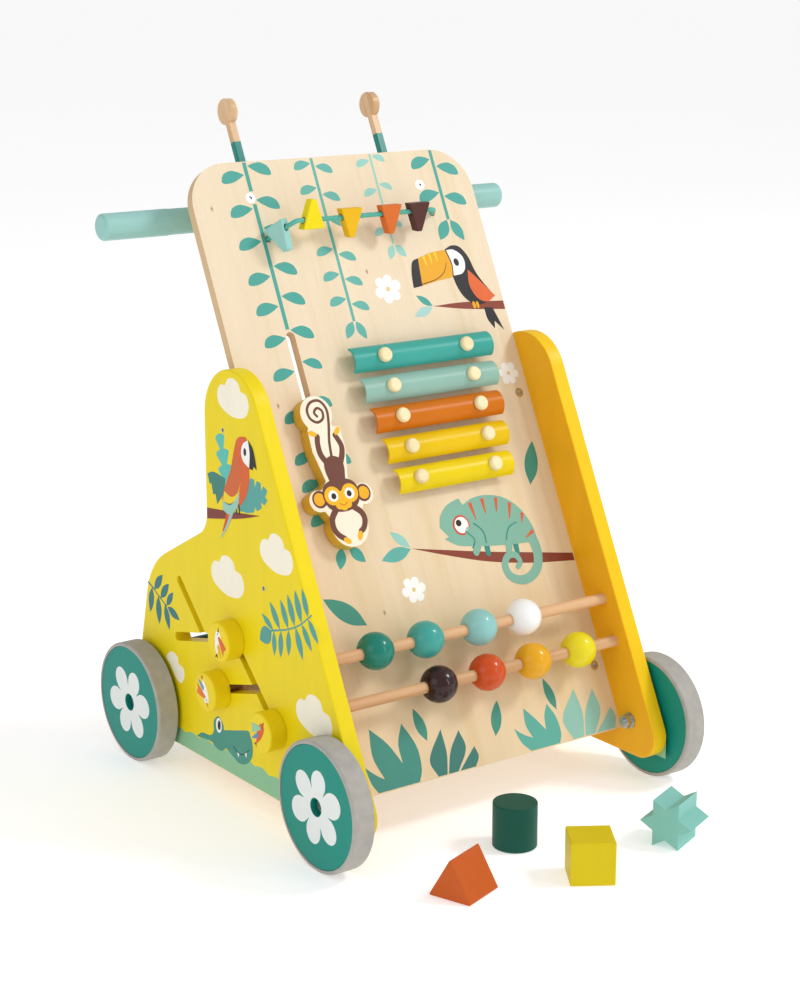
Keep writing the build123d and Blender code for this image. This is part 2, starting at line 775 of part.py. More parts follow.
with BuildPart() as axle_bolts:
    for side, place in hardware_places:
        with BuildSketch(side_plane(side * head_x)):
            with Locations(place):
                Circle(5.2)
        extrude(amount=side * head_thickness)
        with BuildSketch(side_plane(side * (head_x + head_thickness))):
            with Locations(place):
                RegularPolygon(2.6, 6)
        extrude(amount=-side * 2.4, mode=Mode.SUBTRACT)
        with BuildSketch(side_plane(side * bolt_end_x)):
            with Locations(place):
                Circle(axle_radius)
        extrude(amount=side * (head_x - bolt_end_x))
finish(axle_bolts, "axle_bolts")

spacer_thickness = wheel_inner_x - panel_outer_x - axle_head_gap
with BuildPart() as axle_washers:
    for side, place in hardware_places:
        for start_x, radius, thickness in (
            (panel_outer_x, 7.0, spacer_thickness),
            (panel_inner_x - washer_thickness, 6.5, washer_thickness),
        ):
            with BuildSketch(side_plane(side * start_x)):
                with Locations(place):
                    Circle(radius)
                    Circle(axle_radius, mode=Mode.SUBTRACT)
            extrude(amount=side * thickness)
finish(axle_washers, "axle_washers")

nut_x = panel_inner_x - washer_thickness
with BuildPart() as axle_nuts:
    for side, place in hardware_places:
        with BuildSketch(side_plane(side * nut_x)):
            with Locations(place):
                RegularPolygon(nut_across / 2, 6, major_radius=False)
                Circle(axle_radius, mode=Mode.SUBTRACT)
        extrude(amount=-side * nut_height)
finish(axle_nuts, "axle_nuts")

# ---- sorting blocks, lying in front of the walker -----------------------------------------------------
block_edge = 1.0
cylinder_at = (-23.0, mid_y - 186.0)
cube_at = (-14.7, mid_y - 262.3)
cube_turn = -33.2
prism_at = (-103.9, mid_y - 228.1)
prism_turn = 19.4
star_at = (79.0, mid_y - 250.8)
star_turn = 22.6

with BuildPart() as block_round:
    with BuildSketch():
        with Locations(cylinder_at):
            Circle(cylinder_radius)
    extrude(amount=cylinder_height)
    fillet(block_round.edges().filter_by(GeomType.CIRCLE), radius=block_edge)
finish(block_round, "block_round")

with BuildPart() as block_square:
    with BuildSketch():
        with Locations(cube_at):
            Rectangle(block_side, block_side, rotation=cube_turn)
    extrude(amount=block_side)
    fillet(block_square.edges(), radius=block_edge)
finish(block_square, "block_square")

prism_dir = Vector(math.cos(math.radians(prism_turn)), math.sin(math.radians(prism_turn)))
prism_start = Vector(*prism_at) - prism_dir * (triangle_length / 2)
prism_plane = Plane(origin=prism_start, x_dir=prism_dir.cross(Vector(0, 0, -1)), z_dir=prism_dir)
with BuildPart() as block_triangle:
    with BuildSketch(prism_plane):
        with BuildLine():
            Polyline(
                (-triangle_side / 2, 0),
                (triangle_side / 2, 0),
                (0, triangle_side * math.sqrt(3) / 2),
                close=True,
            )
        make_face()
    extrude(amount=triangle_length)
    fillet(block_triangle.edges(), radius=block_edge)
finish(block_triangle, "block_triangle")

star_dir = Vector(math.cos(math.radians(star_turn)), math.sin(math.radians(star_turn)))
star_centre_z = star_radius * math.sqrt(3) / 2
star_start = Vector(*star_at, star_centre_z) - star_dir * (star_length / 2)
star_plane = Plane(origin=star_start, x_dir=star_dir.cross(Vector(0, 0, -1)), z_dir=star_dir)
with BuildPart() as block_star:
    with BuildSketch(star_plane):
        hexagram(star_radius, tip_angle=0.0)
    extrude(amount=star_length)
finish(block_star, "block_star")
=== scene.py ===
"""Looks of a wooden baby walker with an activity board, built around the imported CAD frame.

Lengths named in mm are in the part's own numbers; everything handed to Blender is in metres.
A Face is a flat place to print on: a runs across it, b up it, and h out of it.
"""

import math

import bmesh
import bpy
from mathutils import Matrix, Vector
from mathutils.geometry import tessellate_polygon


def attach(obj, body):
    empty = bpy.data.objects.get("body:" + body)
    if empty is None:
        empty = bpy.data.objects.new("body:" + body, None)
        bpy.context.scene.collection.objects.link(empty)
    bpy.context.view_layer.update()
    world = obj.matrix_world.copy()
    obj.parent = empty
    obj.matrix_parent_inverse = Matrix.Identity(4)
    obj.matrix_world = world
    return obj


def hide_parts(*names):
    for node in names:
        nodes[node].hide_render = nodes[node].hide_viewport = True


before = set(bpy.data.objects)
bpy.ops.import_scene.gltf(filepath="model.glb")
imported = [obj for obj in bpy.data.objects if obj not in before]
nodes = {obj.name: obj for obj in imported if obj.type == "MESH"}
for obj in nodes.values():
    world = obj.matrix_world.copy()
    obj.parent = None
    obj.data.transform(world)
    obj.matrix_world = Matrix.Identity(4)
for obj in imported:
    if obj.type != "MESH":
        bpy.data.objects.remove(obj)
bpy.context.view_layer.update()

MM = 0.001
LEAN = math.radians(25.76)
X_AXIS = Vector((1, 0, 0))
Y_AXIS = Vector((0, 1, 0))
Z_AXIS = Vector((0, 0, 1))
UP_BOARD = Vector((0, math.sin(LEAN), math.cos(LEAN)))
OUT_OF_BOARD = Vector((0, -math.cos(LEAN), math.sin(LEAN)))
BOARD_ORIGIN = Vector((0, -79.42, 41.1))
MID_Y = 48.48
WHEELBASE = 275.6
PANEL_OUTER_X = 148.7
DISC_FACE_X = 169.9
KNOB_FACE_X = 163.0
WHEEL_RADIUS = 50.0
SLIDER_FACE_H = 11.8
FILM = 0.06           # thickness of one layer of ink
SUNK = 0.03           # how far a film reaches into what it is printed on


class Face:
    """A flat place to print on, with its own across, up and out directions."""

    def __init__(self, origin, across, up, out):
        self.origin, self.across, self.up, self.out = origin, across, up, out

    def at(self, a, b, h=0.0):
        return (self.origin + self.across * a + self.up * b + self.out * h) * MM


BOARD = Face(BOARD_ORIGIN, X_AXIS, UP_BOARD, OUT_OF_BOARD)
SLIDER = Face(BOARD_ORIGIN + OUT_OF_BOARD * SLIDER_FACE_H, X_AXIS, UP_BOARD, OUT_OF_BOARD)
LEFT = Face(Vector((-PANEL_OUTER_X, MID_Y, 0)), -Y_AXIS, Z_AXIS, -X_AXIS)
RIGHT = Face(Vector((PANEL_OUTER_X, MID_Y, 0)), Y_AXIS, Z_AXIS, X_AXIS)
KNOBS = Face(Vector((-KNOB_FACE_X, MID_Y, 0)), -Y_AXIS, Z_AXIS, -X_AXIS)


def srgb(r, g, b):
    """An 8-bit display colour as a linear one."""
    shares = [c / 255 for c in (r, g, b)]
    return tuple(c / 12.92 if c <= 0.04045 else ((c + 0.055) / 1.055) ** 2.4 for c in shares)


# ---- materials ----------------------------------------------------------------------------------------
class Graph:
    """A material's node tree, with short calls to add nodes and sockets as plain values."""

    def __init__(self, name):
        self.material = bpy.data.materials.new(name)
        self.material.use_nodes = True
        self.tree = self.material.node_tree
        self.tree.nodes.clear()
        self.shader = self.tree.nodes.new("ShaderNodeBsdfPrincipled")
        output = self.tree.nodes.new("ShaderNodeOutputMaterial")
        self.tree.links.new(self.shader.outputs[0], output.inputs[0])

    def feed(self, node, key, value):
        socket = node.inputs[key]
        if isinstance(value, bpy.types.NodeSocket):
            self.tree.links.new(value, socket)
        elif socket.type == "RGBA" and len(value) == 3:
            socket.default_value = (*value, 1)
        else:
            socket.default_value = value

    def add(self, kind, inputs=None, **settings):
        node = self.tree.nodes.new("ShaderNode" + kind)
        for key, value in settings.items():
            setattr(node, key, value)
        for key, value in (inputs or {}).items():
            self.feed(node, key, value)
        return node

    def set(self, **values):
        for key, value in values.items():
            self.feed(self.shader, key.replace("_", " "), value)

    def math(self, operation, *values, clamp=False):
        return self.add("Math", dict(enumerate(values)), operation=operation, use_clamp=clamp).outputs[0]

    def mix(self, factor, a, b, blend="MIX"):
        node = self.add("Mix", {0: factor, 6: a, 7: b}, data_type="RGBA", blend_type=blend)
        return node.outputs[2]

    def span(self, value, low, high, to_low=0.0, to_high=1.0):
        inputs = {"Value": value, "From Min": low, "From Max": high, "To Min": to_low, "To Max": to_high}
        return self.add("MapRange", inputs).outputs[0]

    def dot(self, vector, direction):
        inputs = {0: vector, 1: tuple(direction)}
        return self.add("VectorMath", inputs, operation="DOT_PRODUCT").outputs["Value"]

    def place(self, along, across=None):
        """Object coordinates turned so that y runs along the grain, in metres."""
        position = self.add("TexCoord").outputs["Object"]
        along = Vector(along).normalized()
        across = Vector(across or (X_AXIS if abs(along.x) < 0.9 else Y_AXIS))
        across = (across - along * across.dot(along)).normalized()
        third = across.cross(along)
        parts = [self.dot(position, d) for d in (across, along, third)]
        return self.add("CombineXYZ", dict(enumerate(parts))).outputs[0], parts

    def noise(self, place, scale, detail=3.0, stretch=(1, 1, 1), roughness=0.5, distortion=0.0):
        scaled = self.add("VectorMath", {0: place, 1: tuple(stretch)}, operation="MULTIPLY").outputs[0]
        inputs = {"Vector": scaled, "Scale": scale, "Detail": detail, "Roughness": roughness}
        return self.add("TexNoise", {**inputs, "Distortion": distortion}).outputs["Fac"]

    def bump(self, height, strength, distance=0.0004):
        inputs = {"Height": height, "Strength": strength, "Distance": distance}
        self.set(Normal=self.add("Bump", inputs).outputs[0])

    def ramp(self, factor, stops):
        node = self.add("ValToRGB", {0: factor})
        ramp = node.color_ramp
        while len(ramp.elements) < len(stops):
            ramp.elements.new(0.5)
        for element, (position, colour) in zip(ramp.elements, stops):
            element.position = position
            element.color = (*colour, 1)
        return node.outputs[0]


def shade(colour, amount):
    """A colour made darker or lighter."""
    return tuple(min(1.0, c * amount) for c in colour)


def grain(graph, place, fine=900.0):
    """Long soft streaks and short fine pores along y, as two factors."""
    streaks = graph.noise(place, 95.0, 4.0, (1, 0.045, 1), 0.55, 0.15)
    pores = graph.noise(place, fine, 2.0, (1, 0.035, 1), 0.6)
    return streaks, pores


def bare_wood(name, light, dark, along, rough=0.55, figure=0.5, across=None, fine=900.0):
    """Unpainted wood: streaked figure, pores and a slight sheen of varnish."""
    graph = Graph(name)
    place, _ = graph.place(along, across)
    streaks, pores = grain(graph, place, fine)
    cloud = graph.noise(place, 16.0, 3.0, (1, 0.2, 1), 0.5, 0.4)
    tone = graph.math(
        "ADD", graph.math("MULTIPLY", streaks, figure), graph.math("MULTIPLY", cloud, 1 - figure)
    )
    colour = graph.ramp(
        graph.span(tone, 0.34, 0.66), [(0.0, dark), (0.5, light), (1.0, shade(light, 1.04))]
    )
    colour = graph.mix(graph.span(pores, 0.62, 0.8, 0.0, 0.35), colour, shade(dark, 0.8))
    graph.set(Base_Color=colour, Specular_IOR_Level=0.25)
    graph.set(Roughness=graph.span(streaks, 0.3, 0.7, rough - 0.06, rough + 0.08))
    graph.bump(graph.math("ADD", streaks, graph.math("MULTIPLY", pores, 0.5)), 0.12, 0.0003)
    return graph, place, colour


def painted(name, colour, along=Z_AXIS, rough=0.42, coat=0.0, vary=0.05, across=None, grain_bump=0.07):
    """Paint on wood: slight unevenness, faint grain showing through and a satin skin."""
    graph = Graph(name)
    place, _ = graph.place(along, across)
    streaks, pores = grain(graph, place)
    cloud = graph.noise(place, 22.0, 3.0)
    tone = graph.math("ADD", graph.math("MULTIPLY", streaks, 0.55), graph.math("MULTIPLY", cloud, 0.45))
    tinted = graph.mix(graph.span(tone, 0.3, 0.7), shade(colour, 1 - vary), shade(colour, 1 + vary * 0.6))
    tinted = graph.mix(graph.span(pores, 0.66, 0.82, 0.0, 0.12), tinted, shade(colour, 0.7))
    graph.set(Base_Color=tinted, Specular_IOR_Level=0.2)
    graph.set(Roughness=graph.span(cloud, 0.3, 0.7, rough - 0.05, rough + 0.07))
    if coat:
        graph.set(Coat_Weight=coat, Coat_Roughness=0.05)
    graph.bump(graph.math("ADD", streaks, graph.math("MULTIPLY", pores, 0.4)), grain_bump, 0.0003)
    return graph, place, tinted


def facing(graph, direction, low=0.55, high=0.75):
    """1 where the surface faces the direction, 0 elsewhere."""
    normal = graph.add("TexCoord").outputs["Normal"]
    return graph.span(graph.dot(normal, direction), low, high)


def wear(node, material):
    """Gives a CAD node its material."""
    mesh = nodes[node].data
    mesh.materials.clear()
    mesh.materials.append(material)


CREAM = srgb(233, 214, 184)
BIRCH_DARK = srgb(226, 204, 166)
PLY_DARK = srgb(196, 152, 104)
LEMON = srgb(238, 213, 12)
AMBER = srgb(242, 178, 24)
AMBER_EDGE = srgb(245, 198, 12)
KNOTS = ((-118.9, 463.7), (7.3, 401.6), (-105.9, 303.7), (-60.0, 132.0), (64.0, 118.0))


def birch_board():
    """Varnished birch ply: pale streaked face, small knots, layers along the edges, and painted shade that
    darkens and warms the face towards the bottom.
    """
    graph, place, colour = bare_wood("birch board", CREAM, BIRCH_DARK, UP_BOARD, 0.5, 0.6)
    position = graph.add("TexCoord").outputs["Object"]
    # painted shade: the face is mixed towards a darker, warmer tan, about a third of the way at the bottom
    # edge and not at all from 330 mm up
    rise = graph.dot(position, UP_BOARD)
    low, high = BOARD.at(0, 40).dot(UP_BOARD), BOARD.at(0, 330).dot(UP_BOARD)
    colour = graph.mix(graph.span(rise, low, high, 0.36, 0.0), colour, srgb(228, 192, 132))
    for a, b in KNOTS:
        gap = graph.add(
            "VectorMath", {0: position, 1: tuple(BOARD.at(a, b))}, operation="SUBTRACT"
        ).outputs[0]
        side = graph.math("MULTIPLY", graph.dot(gap, X_AXIS), 1.5)
        climb = graph.math("MULTIPLY", graph.dot(gap, UP_BOARD), 0.8)
        squares = [graph.math("MULTIPLY", value, value) for value in (side, climb)]
        spread = graph.math("SQRT", graph.math("ADD", *squares))
        spread = graph.math("ADD", spread, graph.math("MULTIPLY", graph.noise(place, 700.0), 0.0009))
        colour = graph.mix(graph.span(spread, 0.0011, 0.0026, 0.75, 0.0), colour, srgb(150, 98, 58))
    depth = graph.dot(position, OUT_OF_BOARD)
    through = graph.add("CombineXYZ", {0: depth}).outputs[0]
    layer = graph.add("TexWave", {0: through, "Scale": 200.0, "Distortion": 0.6}, bands_direction="X")
    plies = graph.mix(layer.outputs["Fac"], srgb(228, 205, 165), PLY_DARK)
    face = graph.math("ABSOLUTE", graph.dot(graph.add("TexCoord").outputs["Normal"], OUT_OF_BOARD))
    graph.set(Base_Color=graph.mix(graph.span(face, 0.4, 0.7), plies, colour))
    return graph.material


def side_panel(name):
    """Lemon outside, amber inside, and on the right panel a warmer edge between them."""
    graph, _, lemon = painted(name, LEMON, Z_AXIS, 0.4, across=Y_AXIS)
    amber = graph.mix(1.0, lemon, tuple(a / b for a, b in zip(AMBER, LEMON)), "MULTIPLY")
    outside = -X_AXIS if name.startswith("left") else X_AXIS
    inner = facing(graph, -outside)
    if name.startswith("right"):
        edge = graph.math("SUBTRACT", 1.0, graph.math("MAXIMUM", inner, facing(graph, outside)))
        warmer = tuple(a / b for a, b in zip(AMBER_EDGE, LEMON))
        lemon = graph.mix(edge, lemon, graph.mix(1.0, lemon, warmer, "MULTIPLY"))
    graph.set(Base_Color=graph.mix(inner, lemon, amber))
    return graph.material


def lacquer(name, colour):
    """The beads' deep gloss."""
    graph, _, _ = painted(name, colour, X_AXIS, 0.3, 0.38, 0.04, grain_bump=0.02)
    return graph.material


def rubber():
    """Soft moulded tyre: mottled grey with fine tread lines round it."""
    graph = Graph("tyre rubber")
    place, (across, _, _) = graph.place(Z_AXIS, X_AXIS)
    mottle = graph.noise(place, 130.0, 4.0)
    speck = graph.noise(place, 1800.0, 2.0)
    colour = graph.mix(graph.span(mottle, 0.3, 0.7), srgb(166, 162, 155), srgb(178, 174, 167))
    colour = graph.mix(graph.span(speck, 0.62, 0.75, 0.0, 0.25), colour, srgb(150, 146, 139))
    round_it = graph.add("CombineXYZ", {0: across}).outputs[0]
    line = graph.add("TexWave", {0: round_it, "Scale": 48.0}, bands_direction="X")
    graph.set(Base_Color=colour, Roughness=graph.span(mottle, 0.3, 0.7, 0.55, 0.7), Specular_IOR_Level=0.2)
    lines = graph.math("MULTIPLY", line.outputs["Fac"], 0.35)
    graph.bump(graph.math("ADD", graph.math("MULTIPLY", speck, 0.3), lines), 0.3, 0.0005)
    return graph.material


def steel():
    """Zinc plate with a soft cloud and fine scratches."""
    graph = Graph("zinc plated steel")
    place, _ = graph.place(X_AXIS)
    cloud = graph.noise(place, 400.0, 4.0)
    scratch = graph.noise(place, 2600.0, 2.0, (1, 0.05, 1))
    graph.set(Base_Color=graph.mix(cloud, srgb(176, 178, 180), srgb(214, 216, 218)), Metallic=1.0)
    graph.set(Roughness=graph.span(scratch, 0.3, 0.7, 0.22, 0.42))
    graph.bump(scratch, 0.08, 0.0002)
    return graph.material


def chime(name, colour):
    """Powder-painted metal: smooth satin with a very fine orange peel."""
    graph = Graph(name)
    place, _ = graph.place(X_AXIS)
    peel = graph.noise(place, 1500.0, 2.0)
    cloud = graph.noise(place, 30.0, 3.0)
    graph.set(Base_Color=graph.mix(graph.span(cloud, 0.3, 0.7), shade(colour, 0.96), shade(colour, 1.03)))
    graph.set(Roughness=graph.span(cloud, 0.3, 0.7, 0.3, 0.38), Specular_IOR_Level=0.16)
    graph.bump(peel, 0.06, 0.0002)
    return graph.material


def mallet(name):
    """Natural stick and head with one dipped band of teal just above the board."""
    graph, _, colour = bare_wood(name, srgb(226, 190, 148), srgb(196, 150, 104), UP_BOARD, 0.45)
    rise = graph.dot(graph.add("TexCoord").outputs["Object"], UP_BOARD)
    base = BOARD.at(0, 0).dot(UP_BOARD)
    low = graph.span(rise, base + 0.4975, base + 0.4980)
    high = graph.span(rise, base + 0.5235, base + 0.5232)
    band = graph.math("MULTIPLY", low, high)
    graph.set(Base_Color=graph.mix(band, colour, srgb(14, 132, 120)), Coat_Weight=0.2, Coat_Roughness=0.2)
    return graph.material


def felt():
    """Grey felt under the chime bars."""
    graph = Graph("grey felt")
    place, _ = graph.place(Z_AXIS)
    fibre = graph.noise(place, 2200.0, 4.0)
    graph.set(Base_Color=graph.mix(fibre, srgb(120, 116, 108), srgb(176, 172, 162)))
    graph.set(Roughness=0.95, Sheen_Weight=0.4)
    graph.bump(fibre, 0.5, 0.0004)
    return graph.material


def slider_wood():
    """Cream-printed face on golden layered ply."""
    graph, place, cream = painted("slider ply", srgb(249, 236, 212), UP_BOARD, 0.42)
    depth = graph.dot(graph.add("TexCoord").outputs["Object"], OUT_OF_BOARD)
    through = graph.add("CombineXYZ", {0: depth}).outputs[0]
    wave = graph.add("TexWave", {0: through, "Scale": 150.0, "Distortion": 1.2}, bands_direction="X")
    fleck = graph.noise(place, 500.0, 3.0, (1, 1, 4))
    plies = graph.mix(wave.outputs["Fac"], srgb(224, 198, 76), srgb(190, 158, 50))
    plies = graph.mix(graph.span(fleck, 0.5, 0.75, 0.0, 0.4), plies, srgb(232, 190, 92))
    graph.set(Base_Color=graph.mix(facing(graph, OUT_OF_BOARD), plies, cream))
    return graph.material


def cord_fibre():
    """Fine twisted strands of the teal cord."""
    graph = Graph("braided cord")
    place, _ = graph.place(X_AXIS)
    strand = graph.noise(place, 1600.0, 3.0, (0.4, 1, 1))
    graph.set(Base_Color=graph.mix(strand, srgb(38, 140, 120), srgb(96, 196, 176)))
    graph.set(Roughness=0.75, Sheen_Weight=0.25)
    graph.bump(strand, 0.35, 0.0003)
    return graph.material


def ink(name, colour, along=Z_AXIS):
    """Screen-printed ink: the wood's streaks and pores still show faintly through it."""
    material = bpy.data.materials.get(name)
    if material:
        return material
    graph, _, _ = painted(name, colour, along, 0.45, 0.0, 0.035, grain_bump=0.05)
    return graph.material


BEECH = bare_wood("beech", srgb(222, 178, 134), srgb(196, 148, 102), X_AXIS, 0.5)[0].material
PINE = bare_wood("pine", srgb(232, 204, 158), srgb(206, 166, 112), Z_AXIS, 0.55)[0].material
TRAY = bare_wood("tray ply", srgb(226, 200, 158), srgb(202, 166, 118), Y_AXIS, 0.55)[0].material
PIN = bare_wood("pin wood", srgb(242, 228, 182), srgb(226, 200, 146), X_AXIS, 0.5, fine=1600.0)[0].material
STEEL = steel()
RUBBER = rubber()
CORD = cord_fibre()
GREEN_DISC = painted("wheel green", srgb(16, 139, 124), Z_AXIS, 0.4)[0].material

wear("front_board", birch_board())
wear("left_side_panel", side_panel("left panel paint"))
wear("right_side_panel", side_panel("right panel paint"))
for node in ("batten_left", "batten_right", "mallet_holder_left", "mallet_holder_right"):
    wear(node, PINE)
wear("tray_floor", TRAY)
wear("tray_rear_wall", painted("dark green paint", srgb(14, 84, 72), X_AXIS, 0.45)[0].material)
wear("handle_bar", painted("aqua paint", srgb(152, 200, 194), X_AXIS, 0.38)[0].material)
for node in ("handle_screws", "frame_screws", "axle_bolts", "axle_washers", "axle_nuts"):
    wear(node, STEEL)
for side in ("left", "right"):
    wear(f"mallet_{side}", mallet(f"mallet wood {side}"))
CHIMES = {1: (64, 164, 152), 2: (146, 186, 172), 3: (206, 112, 12), 4: (232, 192, 8), 5: (234, 206, 14)}
for index, colour in CHIMES.items():
    wear(f"chime_bar_{index}", chime(f"chime paint {index}", srgb(*colour)))
wear("chime_pins", PIN)
wear("chime_cushions", felt())
for node in ("abacus_rods", "monkey_retainer", "bird_retainer_1", "bird_retainer_2", "bird_retainer_3"):
    wear(node, BEECH)
BEADS = {
    "green": (12, 124, 106),
    "teal": (62, 160, 150),
    "aqua": (140, 196, 192),
    "white": (246, 246, 244),
    "brown": (46, 20, 18),
    "orange": (206, 74, 12),
    "amber": (232, 168, 8),
    "yellow": (232, 214, 14),
}
for bead, colour in BEADS.items():
    wear(f"bead_{bead}", lacquer(f"{bead} lacquer", srgb(*colour)))
wear("monkey_slider", slider_wood())
for index in (1, 2, 3):
    wear(f"bird_knob_{index}", painted(f"knob paint {index}", srgb(240, 212, 20), Z_AXIS, 0.4)[0].material)
FLAGS = {
    "aqua": (152, 204, 198),
    "yellow": (240, 218, 10),
    "amber": (234, 182, 12),
    "orange": (214, 108, 42),
    "brown": (84, 48, 42),
}
for flag, colour in FLAGS.items():
    wear(f"flag_{flag}", painted(f"flag {flag} paint", srgb(*colour), UP_BOARD, 0.48)[0].material)
for axle in ("front", "rear"):
    for side in ("left", "right"):
        wear(f"wheel_disc_{axle}_{side}", GREEN_DISC)
        wear(f"tyre_{axle}_{side}", RUBBER)
BLOCKS = {
    "round": (16, 84, 70), "square": (216, 194, 12), "triangle": (196, 90, 28), "star": (132, 194, 182)
}
for block, colour in BLOCKS.items():
    wear(
        f"block_{block}",
        painted(f"block {block} paint", srgb(*colour), Z_AXIS, 0.46, vary=0.04)[0].material,
    )


# ---- meshes -------------------------------------------------------------------------------------------
def mesh_piece(name, verts, faces, material, body):
    """A closed mesh that rides on a body."""
    mesh = bpy.data.meshes.new(name)
    mesh.from_pydata([tuple(v) for v in verts], [], faces)
    mesh.validate()
    build = bmesh.new()
    build.from_mesh(mesh)
    bmesh.ops.recalc_face_normals(build, faces=build.faces)
    build.to_mesh(mesh)
    build.free()
    mesh.materials.append(material)
    piece = bpy.data.objects.new(name, mesh)
    bpy.context.scene.collection.objects.link(piece)
    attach(piece, body)
    return piece


def printed(name, face, shapes, colour, body="root", slot="birch_board", layer=0):
    """Ink films on a face. A shape is one closed outline in mm, or a list of an outline and its holes."""
    low, high = FILM * layer - SUNK, FILM * (layer + 1)
    verts, faces = [], []
    for shape in shapes:
        loops = shape if isinstance(shape[0][0], (list, tuple)) else [shape]
        flat = [(p[0], p[1]) for loop in loops for p in loop]
        start, count = len(verts), len(flat)
        verts += [face.at(a, b, low) for a, b in flat] + [face.at(a, b, high) for a, b in flat]
        for tri in tessellate_polygon([[Vector((p[0], p[1], 0)) for p in loop] for loop in loops]):
            faces.append([start + i for i in reversed(tri)])
            faces.append([start + count + i for i in tri])
        first = start
        for loop in loops:
            size = len(loop)
            for i in range(size):
                j = (i + 1) % size
                faces.append([first + i, first + j, first + j + count, first + i + count])
            first += size
    return mesh_piece(name, verts, faces, ink(f"ink {name}", srgb(*colour), face.up), body)


def on_board(name, shapes, colour, layer=0):
    return printed(name, BOARD, shapes, colour, layer=layer)


def on_left(name, shapes, colour, layer=0):
    return printed(name, LEFT, shapes, colour, slot="yellow_paint", layer=layer)


def on_right(name, shapes, colour, layer=0):
    return printed(name, RIGHT, shapes, colour, slot="amber_paint", layer=layer)


def on_monkey(name, shapes, colour, layer=0):
    return printed(name, SLIDER, shapes, colour, "monkey", "slider_wood", layer)


# ---- outlines in mm -----------------------------------------------------------------------------------
def smooth(points, steps=7):
    """A closed outline through the points. A point with a third value is a sharp corner."""
    outline, count = [], len(points)
    for i in range(count):
        before, start, end, after = (points[(i + k) % count] for k in (-1, 0, 1, 2))
        run = [end[k] - start[k] for k in (0, 1)]
        leave = run if len(start) > 2 else [(end[k] - before[k]) / 2 for k in (0, 1)]
        arrive = run if len(end) > 2 else [(after[k] - start[k]) / 2 for k in (0, 1)]
        for step in range(steps):
            t = step / steps
            basis = (2 * t**3 - 3 * t**2 + 1, t**3 - 2 * t**2 + t, 3 * t**2 - 2 * t**3, t**3 - t**2)
            outline.append(
                tuple(
                    basis[0] * start[k] + basis[1] * leave[k] + basis[2] * end[k] + basis[3] * arrive[k]
                    for k in (0, 1)
                )
            )
    return outline


def path_through(points, steps=8):
    """An open smooth line through the points."""
    line, last = [], len(points) - 1
    for i in range(last):
        before, start, end, after = (points[min(max(i + k, 0), last)] for k in (-1, 0, 1, 2))
        for step in range(steps):
            t = step / steps
            basis = (2 * t**3 - 3 * t**2 + 1, t**3 - 2 * t**2 + t, 3 * t**2 - 2 * t**3, t**3 - t**2)
            line.append(
                tuple(
                    basis[0] * start[k]
                    + basis[1] * (end[k] - before[k]) / 2
                    + basis[2] * end[k]
                    + basis[3] * (after[k] - start[k]) / 2
                    for k in (0, 1)
                )
            )
    return line + [tuple(points[-1][:2])]


def stroke(points, width, end_width=None, steps=8, round_ends=True):
    """The outline of a brush stroke through the points, from one width to another."""
    line = path_through(points, steps)
    end_width = width if end_width is None else end_width
    left, right = [], []
    for i, (x, y) in enumerate(line):
        ahead, behind = line[min(i + 1, len(line) - 1)], line[max(i - 1, 0)]
        dx, dy = ahead[0] - behind[0], ahead[1] - behind[1]
        length = math.hypot(dx, dy) or 1.0
        half = (width + (end_width - width) * i / (len(line) - 1)) / 2
        left.append((x - dy / length * half, y + dx / length * half))
        right.append((x + dy / length * half, y - dx / length * half))

    def cap(centre, rim, sign):
        start = math.atan2(rim[1] - centre[1], rim[0] - centre[0])
        radius = math.hypot(rim[0] - centre[0], rim[1] - centre[1])
        turns = [start - sign * math.pi * k / 7 for k in range(1, 7)]
        return [(centre[0] + radius * math.cos(t), centre[1] + radius * math.sin(t)) for t in turns]

    if not round_ends:
        return left + right[::-1]
    return left + cap(line[-1], left[-1], 1) + right[::-1] + cap(line[0], right[0], 1)


def ellipse(a, b, ra, rb=None, turn=0.0, count=28):
    """An ellipse, or a circle where it has one radius."""
    rb = ra if rb is None else rb
    c, s = math.cos(math.radians(turn)), math.sin(math.radians(turn))
    points = []
    for k in range(count):
        x, y = ra * math.cos(math.tau * k / count), rb * math.sin(math.tau * k / count)
        points.append((a + x * c - y * s, b + x * s + y * c))
    return points


def oriented(base, tip, local):
    """Puts an outline drawn from (0, 0) to (1, 0) between two points."""
    dx, dy = tip[0] - base[0], tip[1] - base[1]
    return [(base[0] + p[0] * dx - p[1] * dy, base[1] + p[0] * dy + p[1] * dx, *p[2:]) for p in local]


def drop_leaf(base, tip):
    """A vine's leaf: pointed at the stem, full above and flatter below, cut short at the tip."""
    side = 1 if tip[0] > base[0] else -1
    local = [
        (0, 0, 1), (0.22, 0.17), (0.5, 0.29), (0.82, 0.24), (1, 0.02), (0.93, -0.1), (0.6, -0.15),
        (0.25, -0.09),
    ]
    return smooth(oriented(base, tip, [(p[0], p[1] * side, *p[2:]) for p in local]))


def lens_leaf(base, tip, width=0.34):
    """A leaf pointed at both ends."""
    half = width / 2
    local = [(0, 0, 1), (0.28, half * 0.85), (0.55, half), (0.8, half * 0.6), (1, 0, 1)]
    local += [(0.8, -half * 0.6), (0.55, -half), (0.28, -half * 0.85)]
    return smooth(oriented(base, tip, local))


def cloud(a, b, puffs):
    """The outer edge of overlapping circles, seen from a point inside them all."""
    outline = []
    for k in range(96):
        angle = math.tau * k / 96
        c, s = math.cos(angle), math.sin(angle)
        reach = 0.0
        for pa, pb, radius in puffs:
            along = (pa - a) * c + (pb - b) * s
            off = (pa - a) * s - (pb - b) * c
            if abs(off) < radius:
                reach = max(reach, along + math.sqrt(radius**2 - off**2))
        outline.append((a + reach * c, b + reach * s))
    return outline


